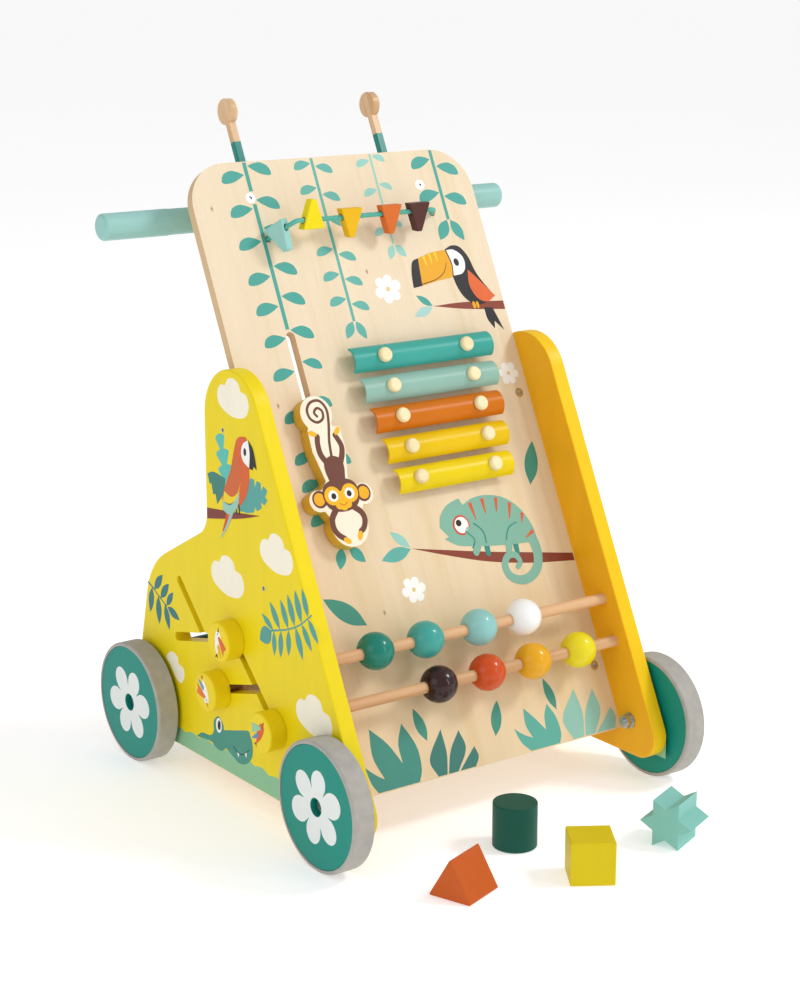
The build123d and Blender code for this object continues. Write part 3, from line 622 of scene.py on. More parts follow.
def fair_cloud(a, b, size, side=1):
    """A cloud with three humps above and one smooth curve below."""
    humps = [
        (-23.9, 2.0), (-19.0, 8.6), (-11.8, 9.4, 1), (-7.6, 15.0), (0.6, 16.9), (8.4, 13.9),
        (11.5, 7.8, 1), (20.2, 5.8),
    ]
    base = [(23.8, -3.2), (17.7, -12.3), (1.4, -15.1), (-12.6, -12.1), (-22.1, -6.6)]
    return smooth([(a + p[0] * size * side, b + p[1] * size, *p[2:]) for p in humps + base])


def blossom(a, b, radius, petals=6, waist=0.55, turn=0.0, uneven=0.0):
    """A flower of rounded petals around a point."""
    outline = []
    for k in range(petals * 20):
        angle = math.tau * k / (petals * 20)
        lobe = abs(math.cos(petals * angle / 2)) ** 0.55
        which = int((angle * petals / math.tau + 0.5) % petals)
        reach = radius * (waist + (1 - waist) * lobe) * (1 - uneven * ((which * 5) % 3) / 2)
        outline.append((a + reach * math.cos(angle + turn), b + reach * math.sin(angle + turn)))
    return outline


def strip(a, b_low, b_high, width):
    """A straight stem up the board."""
    return [
        (a - width / 2, b_low), (a + width / 2, b_low), (a + width / 2, b_high),
        (a - width / 2, b_high),
    ]


# ---- the board's prints -------------------------------------------------------------------------------
TEAL = (74, 162, 150)
MID_TEAL = (98, 176, 164)
PALE_TEAL = (150, 205, 192)
CHARCOAL = (44, 42, 44)
WHITE = (246, 245, 240)
BROWN = (138, 66, 48)

vine = [strip(-79.9, 475.4, 499.2, 3.4), strip(-79.9, 362.2, 464.9, 3.4), strip(-79.6, 187.5, 225.0, 3.4)]
vine += [drop_leaf((-77.6, b), (-57.6, b - 7.2)) for b in (496.3, 468.2, 445.2, 413.8, 389.2, 361.6)]
vine += [drop_leaf((-74.4, b - 1.0), (-57.6, b - 7.2)) for b in (336.5, 305.6)]
vine += [drop_leaf((-82.6, b), (-103.8, b - 4.4)) for b in (489.2, 461.3, 434.6, 405.9, 381.4)]
vine += [drop_leaf((-83.5, b), (-103.8, b - 4.4)) for b in (355.5, 328.7, 294.6)]
vine += [drop_leaf((-85.0, b), (-104.3, b - 5.0)) for b in (262.1, 240.5, 213.4)]
vine += [drop_leaf((-73.0, b), (-54.0, b - 7.0)) for b in (259.0, 236.0)]
vine += [lens_leaf((-82.8, 187.6), (-89.1, 171.0), 0.5), lens_leaf((-76.4, 187.2), (-64.7, 173.2), 0.5)]
on_board("vine_1", vine, TEAL)

vine = [strip(-17.1, 362.5, 499.2, 2.7)]
vine += [drop_leaf((-15.1, b), (0.3, b - 5.4)) for b in (492.3, 468.6, 447.0, 418.2, 397.4, 376.6)]
vine += [drop_leaf((-19.0, b), (-35.2, b - 3.6)) for b in (495.0, 474.3, 449.0, 422.9, 402.0, 381.2)]
vine += [lens_leaf((-18.6, 362.4), (-27.8, 349.0), 0.48), lens_leaf((-15.6, 362.2), (-9.4, 347.0), 0.46)]
on_board("vine_2", vine, MID_TEAL)

vine = [strip(40.1, 422.2, 499.2, 2.0)]
vine += [drop_leaf((41.8, b), (53.4, b - 4.6)) for b in (497.6, 473.4, 441.5)]
vine += [drop_leaf((38.4, b), (24.8, b - 4.2)) for b in (494.0, 468.8, 435.2)]
vine += [lens_leaf((39.0, 421.8), (33.2, 409.6), 0.5), lens_leaf((41.4, 421.6), (49.6, 410.4), 0.5)]
on_board("vine_3", vine, PALE_TEAL)

vine = [strip(101.2, 438.6, 499.2, 3.1)]
vine += [drop_leaf((103.5, b), (124.2, b - 7.2)) for b in (485.2, 458.8)]
vine += [drop_leaf((98.8, 491.6), (78.4, 485.4)), drop_leaf((99.2, 462.2), (77.7, 456.5))]
vine += [lens_leaf((99.6, 438.4), (87.6, 421.6), 0.5), lens_leaf((102.8, 438.2), (112.0, 419.6), 0.46)]
on_board("vine_4", vine, TEAL)

FLOWERS = {
    "flower_1": (23.0, 385.4, 13.2, 0.3),
    "flower_2": (119.4, 303.3, 10.4, 0.9),
    "flower_3": (-28.1, 144.6, 11.4, 0.1),
}
for name, (a, b, radius, turn) in FLOWERS.items():
    on_board(name, [blossom(a, b, radius, 6, 0.62, turn, 0.08)], (250, 249, 244))
    on_board(name + "_heart", [ellipse(a, b, radius * 0.16)], (226, 206, 140), layer=1)

# toucan on its branch
BRANCH = [(62.6, 366.9, 1), (92, 367.4), (134.2, 364.8, 1), (134.2, 357.4, 1), (95, 361.4)]
on_board("toucan_branch", [smooth(BRANCH)], BROWN)
tail = [(113, 361, 1), (121.5, 360, 1), (127.4, 339.8, 1), (120, 348.5, 1), (118.2, 342, 1), (113.4, 351)]
body = [
    (89.2, 413.4, 1), (97, 416.2), (105, 414), (110.8, 405), (113.8, 393), (118.5, 383),
    (126.5, 370.6, 1),
]
body += [(114, 364.2), (103, 365.6), (95.6, 372), (91.6, 381), (90, 390.4, 1)]
on_board("toucan_body", [smooth(body), smooth(tail)], CHARCOAL, layer=1)
on_board(
    "toucan_bill",
    [
        smooth(
            [
                (60, 408.2, 1), (74, 411.8), (89, 413, 1), (91.6, 400), (89.8, 389.4, 1), (74, 387.6),
                (57.2, 384.8, 1),
            ]
        )
    ],
    (232, 166, 30),
    layer=2,
)
on_board(
    "toucan_bill_tip",
    [smooth([(60, 408.2, 1), (53.6, 405.6), (50, 396), (48.2, 383.8, 1), (57.2, 384.8, 1)])],
    CHARCOAL,
    layer=3,
)
on_board(
    "toucan_bill_light",
    [
        stroke([(a, b + 0.4), (a + 0.8, b - 6.5)], 2.6, 0.7)
        for a, b in ((66, 408), (72, 409.4), (78, 410.4))
    ],
    (240, 206, 40),
    layer=3,
)
on_board(
    "toucan_smile",
    [stroke([(57.8, 386.2), (72, 388.8), (82, 394), (87, 402)], 0.9, 0.5)],
    (122, 74, 28),
    layer=3,
)
on_board(
    "toucan_face",
    [
        smooth(
            [
                (90.2, 412.6, 1), (97.5, 412.4), (104.6, 406.4), (105.4, 398.5), (101, 392),
                (91.2, 390.4, 1), (92.6, 401),
            ]
        )
    ],
    WHITE,
    layer=3,
)
on_board(
    "toucan_wing",
    [
        smooth(
            [(106.6, 394.4, 1), (112.5, 388), (127.6, 369.8, 1), (118, 365.6), (109, 369.6), (104.4, 381)]
        )
    ],
    (222, 104, 52),
    layer=2,
)
on_board("toucan_eye", [ellipse(97.2, 401.6, 2.5, 3.3, 10)], CHARCOAL, layer=4)
on_board(
    "toucan_feet",
    [ellipse(103.6, 364.0, 1.6, 3.2), ellipse(107.2, 363.8, 1.5, 3.0)],
    (232, 166, 30),
    layer=2,
)
on_board("toucan_leaf_dark", [lens_leaf((62.0, 367.2), (48.4, 377.4), 0.34)], TEAL)
on_board("toucan_leaf_pale", [lens_leaf((61.4, 366.2), (41.8, 360.2), 0.36)], (168, 210, 202))

# chameleon on its branch
branch = [
    (-20.3, 176.4, 1), (16, 169.0), (52, 161.8), (90, 155.0), (134.3, 147.2, 1), (134.3, 140.8, 1),
    (90, 146.2), (50, 154.0), (15, 164.4),
]
on_board("chameleon_branch", [smooth(branch)], BROWN)
on_board("chameleon_leaf_dark", [lens_leaf((-21.0, 176.2), (-50.2, 171.6), 0.36)], MID_TEAL)
on_board("chameleon_leaf_pale", [lens_leaf((-21.2, 177.6), (-36.2, 192.4), 0.36)], PALE_TEAL)
LIZARD = (130, 180, 160)
on_board(
    "chameleon_far_legs",
    [stroke([(51.5, 172), (51, 160.6)], 6.2, 4.6), stroke([(80, 170), (79.4, 156.4)], 6.2, 4.6)],
    (54, 142, 130),
    layer=1,
)
body = [
    (11.3, 188, 1), (14.6, 197), (23.5, 204.8), (36.2, 208.6, 1), (38.4, 202.6, 1), (50, 206.8),
    (66, 206.8), (82, 201.4),
]
body += [
    (95, 189), (102.2, 171), (97, 163.6), (84, 163.4), (60, 165.6), (40, 168.4), (24, 171.6),
    (13.2, 178.4, 1), (17.6, 179.8, 1),
]
on_board("chameleon_body", [smooth(body)], LIZARD, layer=2)
curl = [
    (97.2, 168), (99.2, 155), (95.6, 142.8), (86.4, 135.6), (75.4, 134.4), (66.2, 139.4), (63.8, 148.4),
    (69.0, 155.4), (76.6, 154.8), (79.4, 148.6), (75.8, 145.2),
]
on_board("chameleon_tail", [stroke(curl, 9.6, 4.2)], LIZARD, layer=3)
legs = [
    stroke([(38, 181), (44.4, 172.6), (39.4, 163.4)], 7.4, 6.0),
    stroke([(84, 178), (75.6, 170.4), (71.6, 159.0)], 9.0, 5.6),
]
on_board("chameleon_near_legs", legs, LIZARD, layer=4)
lines = [
    stroke([(44.6, 186.4), (51.4, 178.6), (51.6, 169.4)], 1.1),
    stroke([(34.6, 181.6), (41.0, 173.6), (37.4, 167.4)], 1.1),
]
lines += [stroke([(86, 181), (77, 177.4), (71.6, 168.4)], 1.1)]
on_board("chameleon_lines", lines, (54, 142, 130), layer=5)
STRIPES = (
    (45.8, 203.4, 47.8, 189), (58.4, 205.0, 58.8, 192.2), (72.4, 203.6, 69.8, 192.2),
    (84.6, 197.6, 80.6, 184.6), (94.4, 187.6, 91.8, 180), (100.4, 171.4, 91.6, 167.0),
)
on_board(
    "chameleon_stripes",
    [stroke([(a, b), (c, d)], 3.6, 0.6, round_ends=False) for a, b, c, d in STRIPES],
    (216, 92, 52),
    layer=4,
)
on_board("chameleon_eye_ring", [ellipse(32.1, 187.0, 8.2)], (206, 74, 44), layer=3)
on_board("chameleon_eye", [ellipse(32.3, 187.0, 6.7)], WHITE, layer=4)
on_board("chameleon_pupil", [ellipse(30.0, 189.0, 2.7)], CHARCOAL, layer=5)

# single leaves and the grass along the bottom
leaves = [lens_leaf((110.6, 208.8), (124.4, 244.2), 0.34), lens_leaf((-78.2, 125.4), (-111.0, 151.8), 0.34)]
leaves += [
    lens_leaf((-52.2, 29.4), (-57.6, 56.0), 0.33),
    lens_leaf((11.2, 19.4), (21.2, 46.2), 0.34),
    lens_leaf((75.8, 27.2), (70.2, 54.0), 0.3),
]
on_board("single_leaves", leaves, (72, 148, 128))
EDGE = 1.0
clump = [
    (-106.4, EDGE, 1), (-110.6, 9.5), (-112.6, 21.9, 1), (-105, 14.6), (-98, 9.8, 1), (-103.6, 28),
    (-100.8, 49, 1),
]
clump += [
    (-88, 35), (-78.9, 17.8, 1), (-78.4, 33), (-71.2, 47.2, 1), (-63.0, 28), (-63.4, 10.6),
    (-68.2, EDGE, 1),
]
on_board("grass_1", [smooth(clump)], (74, 146, 132))
blades = [[(-50.4, EDGE, 1), (-54.2, 15.5), (-37.6, 35.6, 1), (-37.6, 17), (-41.8, EDGE, 1)]]
blades += [[(-40.6, EDGE, 1), (-33.6, 17.5), (-21.6, 31.4, 1), (-19.2, 16.5), (-31.2, EDGE, 1)]]
blades += [[(-29.4, EDGE, 1), (-19.5, 9.5), (-11.0, 16.4, 1), (-9.4, 8.0), (-14.4, EDGE, 1)]]
on_board("grass_2", [smooth(blade) for blade in blades], (68, 126, 116))
clump = [
    (41, EDGE, 1), (33.8, 9.4), (30.2, 21.0, 1), (38, 14.8), (46, 10.6, 1), (42.0, 22), (43.9, 35, 1),
    (52.5, 25),
]
clump += [(60.4, 14, 1), (62.4, 25), (67.6, 33.8, 1), (73.2, 22), (74.2, 9), (70.4, EDGE, 1)]
on_board("grass_3", [smooth(clump)], (96, 174, 158))
blades = [[(84.6, EDGE, 1), (79.4, 19), (97.6, 40, 1), (100.4, 20), (95.8, EDGE, 1)]]
blades += [[(97.2, EDGE, 1), (103.6, 20), (116.2, 36.4, 1), (118.8, 18), (107.2, EDGE, 1)]]
blades += [[(109.0, EDGE, 1), (119.4, 9.5), (129.6, 18.4, 1), (132.2, 10), (128.6, EDGE, 1)]]
on_board("grass_4", [smooth(blade) for blade in blades], (146, 196, 180))


# ---- the panels' prints -------------------------------------------------------------------------------
CLOUD = (247, 240, 220)
FERN = (84, 158, 152)
MINT = (140, 192, 152)


def ground(low, high, top, period, height):
    """A strip of ground with a scalloped upper edge."""
    points = [(low, 22.6), (high, 22.6)]
    steps = int((high - low) / 2.0)
    for k in range(steps + 1):
        a = high - (high - low) * k / steps
        points.append((a, top(a) + height * abs(math.sin(math.pi * a / period))))
    return points


def sprig(stem, leaflets, width=0.38):
    """A fern: a thin stem and pointed leaflets, each from a base to a tip."""
    return [stroke(stem, 1.6, 1.2)], [lens_leaf(base, tip, width) for base, tip in leaflets]


def notched_leaf(spine, tip, lobes):
    """A cut leaf: lobes swell out on both sides of a spine, with a notch between each pair."""
    dx, dy = tip[0] - spine[0], tip[1] - spine[1]
    left, right = [], []
    for k, reach in enumerate(lobes):
        t0, t1, t2 = (k / len(lobes), (k + 0.5) / len(lobes), (k + 0.86) / len(lobes))
        for t, width in ((t0, 0.4), (t1 + 0.05, 1.0), (t2, 0.92)):
            x, y = spine[0] + dx * t, spine[1] + dy * t
            left.append((x - dy * reach * width, y + dx * reach * width))
            right.append((x + dy * reach * width, y - dx * reach * width))
    return left + [tip] + right[::-1]


clouds = {
    "cloud_1": fair_cloud(0, 326, 0.93),
    "cloud_2": fair_cloud(57, 218, 0.94),
    "cloud_3": fair_cloud(-13, 184, 1.0),
    "cloud_4": fair_cloud(105, 105, 1.0),
    "cloud_5": smooth(
        [
            (-111.2, 92.5), (-103.6, 99.0), (-94.2, 97.8), (-91.9, 91.6, 1), (-84.4, 89.6),
            (-83.5, 82.4), (-88.9, 76.1), (-96.4, 78.7), (-103.7, 86.2),
        ]
    ),
}
for name, outline in clouds.items():
    on_left(name, [outline], CLOUD)

fern_stem = [(48.5, 156.8), (60.0, 160.2), (71.4, 163.8), (87.0, 171.1), (103.2, 182.8)]
fern_up = [((51.2, 158.0), (35.5, 167.0)), ((60.6, 160.6), (47.0, 179.4)), ((71.8, 164.2), (61.5, 184.7))]
fern_up += [((80.6, 168.4), (71.2, 191.1)), ((89.6, 173.2), (81.2, 196.8)), ((98.4, 179.8), (90.6, 200.1))]
fern_down = [((52.1, 157.6), (52.4, 138.0)), ((61.8, 160.4), (60.7, 138.6)), ((72.2, 163.8), (71.8, 143.0))]
fern_down += [
    ((81.6, 168.2), (91.0, 145.1)), ((90.0, 172.8), (103.0, 155.1)), ((98.2, 178.8), (111.8, 163.0))
]
stems, leaflets = sprig(fern_stem, fern_up + fern_down, 0.3)
leaflets.append(lens_leaf((48.9, 156.8), (32.0, 145.4), 0.66))
on_left("fern_1_stem", stems, FERN)
on_left("fern_1", leaflets, FERN, layer=1)
bases = [
    (-128.2, 146.0), (-118.4, 141.0), (-108.9, 137.0), (-131.6, 146.8), (-121.9, 141.8),
    (-111.4, 137.8), (-107.4, 136.2),
]
tips = [
    (-114.0, 161.5), (-104.2, 156.3), (-97.6, 150.7), (-135.9, 124.5), (-121.6, 117.9), (-105.1, 116.9),
    (-88.3, 129.9),
]
stems, leaflets = sprig(
    [(-138, 149.8), (-130.8, 147.0), (-121.7, 142.2), (-109.0, 136.6)], list(zip(bases, tips)), 0.36
)
on_left("fern_2_stem", stems, (58, 120, 124))
on_left("fern_2", leaflets, (58, 120, 124), layer=1)
on_left("ground_left", [ground(-162, 166, lambda a: 36.4 + 3.2 * math.cos(a / 40), 21, 2.8)], MINT)

# crocodile in the grass
croc = [
    (-66, 37.6, 1), (-57, 43.4), (-45, 44.8), (-39, 50), (-38.6, 58.6), (-31.4, 64.8), (-24.6, 60.2),
    (-23.4, 55.6, 1), (-6, 60.6),
]
croc += [
    (8, 64.8), (14.6, 65.4), (18.6, 58), (18.4, 47), (11.2, 38.6), (0, 34.8), (-10, 37.4), (-20, 41.0),
    (-28, 36.6), (-37.2, 37.6), (-44, 40.2),
]
on_left("crocodile", [smooth(croc)], (72, 146, 130), layer=1)
on_left("crocodile_eye", [ellipse(-30.8, 57.4, 4.3, 6.3, -8)], WHITE, layer=2)
on_left("crocodile_pupil", [ellipse(-30.2, 57.6, 2.2, 4.2, -8)], CHARCOAL, layer=3)
on_left(
    "crocodile_smile",
    [stroke([(-9, 46.4), (-2, 42.8), (6, 44.6), (13.6, 50.4)], 1.1, 0.8)],
    (30, 70, 64),
    layer=2,
)
on_left(
    "crocodile_teeth",
    [[(-4.0, 43.0), (-0.6, 42.8), (-2.2, 39.4)], [(7.2, 45.2), (10.2, 47.2), (9.8, 42.8)]],
    WHITE,
    layer=3,
)

# parrot on its branch
on_left("parrot_leaf_tall", [notched_leaf((-7, 250), (-21, 296), (0.16, 0.22, 0.2, 0.14))], (92, 190, 176))
on_left(
    "parrot_leaf_left",
    [
        smooth(
            [
                (-39.4, 261, 1), (-30, 264), (-13, 262, 1), (-16, 250), (-25.8, 239.2, 1),
                (-28, 247, 1), (-31.6, 246, 1), (-33.6, 254, 1), (-36.6, 253.6, 1),
            ]
        )
    ],
    (66, 130, 118),
    layer=1,
)
fan = [
    (5, 240.6, 1), (14, 253, 1), (22.6, 269.4, 1), (28, 269.6, 1), (28.6, 263.6, 1), (31.6, 269.2, 1),
    (37, 268.4, 1), (37.4, 262.6, 1), (40.6, 267, 1),
]
fan += [
    (46, 264.4, 1), (43, 258.8, 1), (46, 257, 1), (42, 252.4, 1), (37, 253.6, 1), (38, 249.6, 1),
    (31.4, 245.6, 1), (28.6, 248.4, 1), (27, 243.8, 1), (18, 241.4, 1),
]
on_left("parrot_leaf_right", [[p[:2] for p in fan]], (88, 164, 156))
on_left(
    "parrot_branch",
    [smooth([(-41.2, 233.4, 1), (-10, 237), (35.5, 242.9, 1), (4, 234), (-41.2, 224.6, 1)])],
    (126, 62, 50),
    layer=2,
)
body = [
    (13.5, 299.4), (4.6, 296), (-0.6, 284), (-5, 271), (-13.6, 256), (-18.4, 244.4, 1), (-4, 240),
    (6, 243.6), (15.6, 253), (21, 265), (21.4, 277, 1), (14, 284), (18.6, 297.6),
]
on_left("parrot_body", [smooth(body)], (216, 100, 50), layer=3)
on_left(
    "parrot_tail_red",
    [stroke([(-8, 240), (-12, 229), (-17.4, 219)], 6.4, 3.2, round_ends=False)],
    (214, 84, 42),
    layer=3,
)
on_left(
    "parrot_tail_blue",
    [stroke([(-4, 238), (-11, 226), (-20.6, 214)], 4.0, 1.0, round_ends=False)],
    (158, 196, 190),
    layer=4,
)
on_left(
    "parrot_wing",
    [smooth([(2, 282), (-6, 268), (-14.4, 252, 1), (-4, 249), (5, 256), (9.6, 268), (8, 280)])],
    (206, 104, 58),
    layer=4,
)
on_left(
    "parrot_wing_yellow",
    [smooth([(-14.4, 252, 1), (-17, 244, 1), (-6, 243), (4.4, 252), (9.4, 264, 1), (4, 254), (-5, 249.4)])],
    (240, 208, 40),
    layer=5,
)
on_left(
    "parrot_wing_aqua",
    [smooth([(-17, 244, 1), (-17.6, 236.6, 1), (-7, 235), (4, 243), (7.6, 256, 1), (1, 248), (-7, 243.4)])],
    (150, 200, 184),
    layer=5,
)
on_left(
    "parrot_face",
    [smooth([(20.6, 298, 1), (13.4, 294), (10.6, 287), (13.6, 280.6), (21.4, 277, 1), (22.6, 288)])],
    WHITE,
    layer=4,
)
on_left("parrot_eye", [ellipse(16.0, 288.2, 1.9, 3.1)], CHARCOAL, layer=5)
on_left(
    "parrot_beak",
    [
        smooth(
            [
                (20.6, 298.2, 1), (27.6, 291.6), (32, 277.6, 1), (28, 279.4, 1), (26, 276.2, 1),
                (22, 276.6, 1), (22.8, 288),
            ]
        )
    ],
    CHARCOAL,
    layer=5,
)
on_left("parrot_feet", [stroke([(a, 245), (a + 0.6, 238)], 2.0, 1.4) for a in (2, 6)], CHARCOAL, layer=4)

# the right panel's outer face
clouds = {
    "cloud_6": fair_cloud(0, 326, 0.93, -1),
    "cloud_7": fair_cloud(-52, 219, 0.82, -1),
    "cloud_8": fair_cloud(97, 120, 0.7, -1),
}
for name, outline in clouds.items():
    on_right(name, [outline], CLOUD)
on_right("ground_right", [ground(-166, 162, lambda a: 36.4 + 3.2 * math.cos(a / 40), 21, 2.8)], MINT)
stem = [(8, 222), (2, 246), (-4, 276)]
bases = [(7, 228), (4.6, 238), (2.4, 248), (0.2, 258), (-2, 268)]
tips = [(26, 238), (24, 252), (21, 264), (17, 274), (12, 284)]
more = [(-13, 232), (-16, 246), (-18, 258), (-19, 270), (-17, 282)]
stems, leaflets = sprig(stem, list(zip(bases, tips)) + list(zip(bases, more)) + [((-4, 276), (-7, 292))])
on_right("fern_3_stem", stems, FERN)
on_right("fern_3", leaflets, FERN, layer=1)

# ---- small birds on the knobs -------------------------------------------------------------------------
KNOB_PLACES = ((-6.0, 136.0, 82, 1), (-27.5, 89.0, -70, 1), (52.0, 79.5, 60, -1))
BIRD_INKS = (
    ((246, 244, 238), (222, 104, 46), (44, 42, 44), (236, 176, 40)),
    ((246, 244, 238), (226, 120, 40), (206, 74, 44), (104, 152, 196)),
    ((222, 96, 44), (150, 200, 160), (150, 58, 34), (92, 140, 190)),
)
for index, ((a, b, turn, flip), inks) in enumerate(zip(KNOB_PLACES, BIRD_INKS), start=1):
    c, s = math.cos(math.radians(turn)), math.sin(math.radians(turn))

    def spin(points):
        return [(a + p[0] * c - p[1] * s * flip, b + p[0] * s + p[1] * c * flip, *p[2:]) for p in points]

    body = [(-11.5, 0.9, 1), (-4, 3.6), (3, 4.2), (7.6, 3.0), (9.4, 0.2), (7, -2.8), (1, -4.0), (-5, -1.8)]
    wing = [
        (3.4, 0.2, 1), (-1.6, -3.4), (-8.6, -9.0, 1), (-4.2, -9.2, 1), (-1.2, -12.4, 1), (2.6, -7.0),
        (5.0, -1.4),
    ]
    feather = [(-1.0, -1.6, 1), (-5.4, -4.0), (-11.8, -6.2, 1), (-8.6, -2.6), (-4.2, 0.4)]
    beak = [(8.2, 1.2, 1), (12.6, 0.4, 1), (8.4, -0.8, 1)]
    tail = [(-9.6, 0.4, 1), (-13.6, 2.6, 1), (-12.4, 0.2, 1), (-13.4, -1.8, 1)]
    settings = {"body": f"bird_{index}", "slot": "yellow_paint"}
    printed(f"bird_{index}_body", KNOBS, [smooth(spin(body))], inks[0], **settings)
    printed(f"bird_{index}_wing", KNOBS, [smooth(spin(wing))], inks[1], layer=1, **settings)
    printed(f"bird_{index}_feather", KNOBS, [smooth(spin(feather))], inks[3], layer=2, **settings)
    printed(
        f"bird_{index}_beak",
        KNOBS,
        [[p[:2] for p in spin(beak)], [p[:2] for p in spin(tail)]],
        inks[2],
        layer=1,
        **settings,
    )
    printed(
        f"bird_{index}_eye",
        KNOBS,
        [[p[:2] for p in spin(ellipse(6.4, 0.8, 0.6))]],
        CHARCOAL,
        layer=2,
        **settings,
    )

# ---- the monkey ---------------------------------------------------------------------------------------
FUR = (112, 68, 54)
GOLD = (242, 184, 30)
tail = [
    (-78.4, 256), (-76.8, 268.5), (-73.0, 283.0), (-72.0, 293.4), (-76.6, 300.6), (-84.4, 300.4),
    (-89.2, 295.2), (-88.6, 288.2), (-83.0, 284.2), (-77.0, 286.8), (-76.4, 292.6), (-80.2, 295.2),
    (-83.6, 292.2), (-81.8, 288.8),
]
limbs = [stroke(tail, 2.3, 2.1)]
on_monkey("monkey_tail", limbs, FUR)
limbs = [
    stroke([(-83.4, 251.4), (-87.4, 258.8), (-87.8, 267.0), (-86.4, 273.2)], 5.0, 4.4),
    stroke([(-72.0, 250.4), (-68.4, 257.2), (-67.2, 264.2), (-70.4, 272.4)], 5.0, 4.2),
]
limbs += [
    stroke([(-85.6, 216.4), (-91.8, 209.4), (-92.8, 202.0), (-90.2, 196.2), (-85.4, 192.4)], 5.0, 4.4),
    stroke([(-72.0, 216.4), (-65.2, 210.6), (-63.4, 204.6), (-65.8, 198.6), (-69.4, 195.8)], 5.0, 4.4),
]
on_monkey("monkey_limbs", limbs, FUR, layer=1)
feet = [
    ellipse(-90.0, 276.0, 3.8, 2.0, -24), ellipse(-67.6, 275.4, 3.8, 2.0, 50),
    ellipse(-83.6, 190.6, 3.6, 2.2, -35), ellipse(-71.2, 192.6, 3.8, 2.2, 65),
]
on_monkey("monkey_hands", feet, GOLD, layer=2)
body = [
    (-86.4, 252.4), (-82.4, 256.0), (-77.4, 256.8), (-71.6, 254.0), (-69.6, 248), (-71.0, 240),
    (-72.4, 235, 1), (-85.4, 235.4, 1), (-87.2, 245.4),
]
on_monkey("monkey_body", [smooth(body)], FUR, layer=3)
on_monkey(
    "monkey_ear_rims", [ellipse(-98.6, 225.2, 6.6, 6.9), ellipse(-58.6, 224.8, 6.6, 6.9)], FUR, layer=1
)
on_monkey(
    "monkey_ears",
    [ellipse(-99.0, 225.2, 4.8, 5.1), ellipse(-58.2, 224.8, 4.8, 5.1)],
    (240, 176, 34),
    layer=2,
)
head = [
    (-95.2, 227), (-92, 235), (-83.6, 238.4), (-73.6, 238.4), (-65, 234.6), (-62.2, 226.4),
    (-65.4, 217.6), (-73.4, 213.4), (-84.4, 213.4), (-92.4, 217.8),
]
on_monkey("monkey_head", [smooth(head)], FUR, layer=4)
mask = cloud(
    -78.7,
    223,
    (
        (-86.6, 226.2, 7.4), (-70.8, 226.4, 7.4), (-78.7, 223, 6.0), (-82.6, 218.4, 3.4),
        (-74.8, 218.4, 3.4), (-78.7, 217.2, 3.6),
    ),
)
on_monkey("monkey_mask", [mask], GOLD, layer=5)
on_monkey("monkey_eyes", [ellipse(-86.2, 226.0, 4.4), ellipse(-71.2, 226.2, 4.4)], WHITE, layer=6)
on_monkey(
    "monkey_pupils", [ellipse(-85.8, 225.8, 2.2, 2.4), ellipse(-71.6, 226.0, 2.2, 2.4)], CHARCOAL, layer=7
)
on_monkey(
    "monkey_nose", [stroke([(-82.2, 219.6), (-78.7, 217.8), (-75.2, 219.6)], 0.8)], (214, 120, 30), layer=6
)

# ---- flowers on the wheels ----------------------------------------------------------------------------
HUB = 7.3
for axle, y in (("front", MID_Y - WHEELBASE / 2), ("rear", MID_Y + WHEELBASE / 2)):
    for side, sign in (("left", -1), ("right", 1)):
        face = Face(Vector((sign * DISC_FACE_X, y, WHEEL_RADIUS)), Y_AXIS * sign, Z_AXIS, X_AXIS * sign)
        turn = 0.35 if axle == "front" else 0.1
        petals = blossom(0, 0, 33.0, 6, 0.46, turn, 0.1)
        printed(
            f"wheel_flower_{axle}_{side}", face, [[petals, ellipse(0, 0, HUB)[::-1]]], (230, 234, 232),
            f"wheel_{axle}_{side}", "wheel_green",
        )

# ---- garland cord -------------------------------------------------------------------------------------
CORD_DIAMETER = 0.004
STRAND_LAY = 0.0085       # how far a strand travels in one turn round the cord
STRAND_RELIEF = 0.07      # how deep the strands are, as a share of the radius
KNOT_H = -11.5            # the knots stand behind the board
KNOT_SIZE = 1.06
KNOT_SWELL = 1.7
KNOT_STRAND = 0.0016
cord_route = [
    (-76.2, 435.6, -8.0),
    (-76.2, 435.6, 1.0),
    (-70.95, 437.7, 17.6),
    (-67.5, 439.0, 23.2),
    (-62.0, 441.0, 24.3),
    (-56.8, 442.2, 21.0),
    (-51.5, 442.6, 18.0),
    (-45.4, 442.6, 18.0),
    (63.4, 442.6, 18.0),
    (74.5, 442.6, 18.0),
    (81.5, 444.3, 9.5),
    (86.5, 445.2, 1.0),
    (86.5, 445.2, -8.0),
]


def cord_line():
    """The route's smooth line, as points read from its NURBS spline."""
    curve = bpy.data.curves.new("cord_line", "CURVE")
    curve.dimensions = "3D"
    curve.resolution_u = 24
    spline = curve.splines.new("NURBS")
    spline.points.add(len(cord_route) - 1)
    for point, place in zip(spline.points, cord_route):
        point.co = (*BOARD.at(*place), 1)
    spline.order_u = 3
    spline.use_endpoint_u = True
    holder = bpy.data.objects.new("cord_line", curve)
    bpy.context.scene.collection.objects.link(holder)
    mesh = bpy.data.meshes.new_from_object(holder.evaluated_get(bpy.context.evaluated_depsgraph_get()))
    points = [v.co.copy() for v in mesh.vertices]
    bpy.data.objects.remove(holder)
    bpy.data.meshes.remove(mesh)
    bpy.data.curves.remove(curve)
    return points


def respaced(points, step):
    """The same line with points an even step apart."""
    lengths = [0.0]
    for before, after in zip(points, points[1:]):
        lengths.append(lengths[-1] + (after - before).length)
    count = max(2, round(lengths[-1] / step))
    spread, i = [], 0
    for k in range(count + 1):
        goal = lengths[-1] * k / count
        while i < len(points) - 2 and lengths[i + 1] < goal:
            i += 1
        run = lengths[i + 1] - lengths[i]
        spread.append(points[i].lerp(points[i + 1], (goal - lengths[i]) / run if run else 0.0))
    return spread


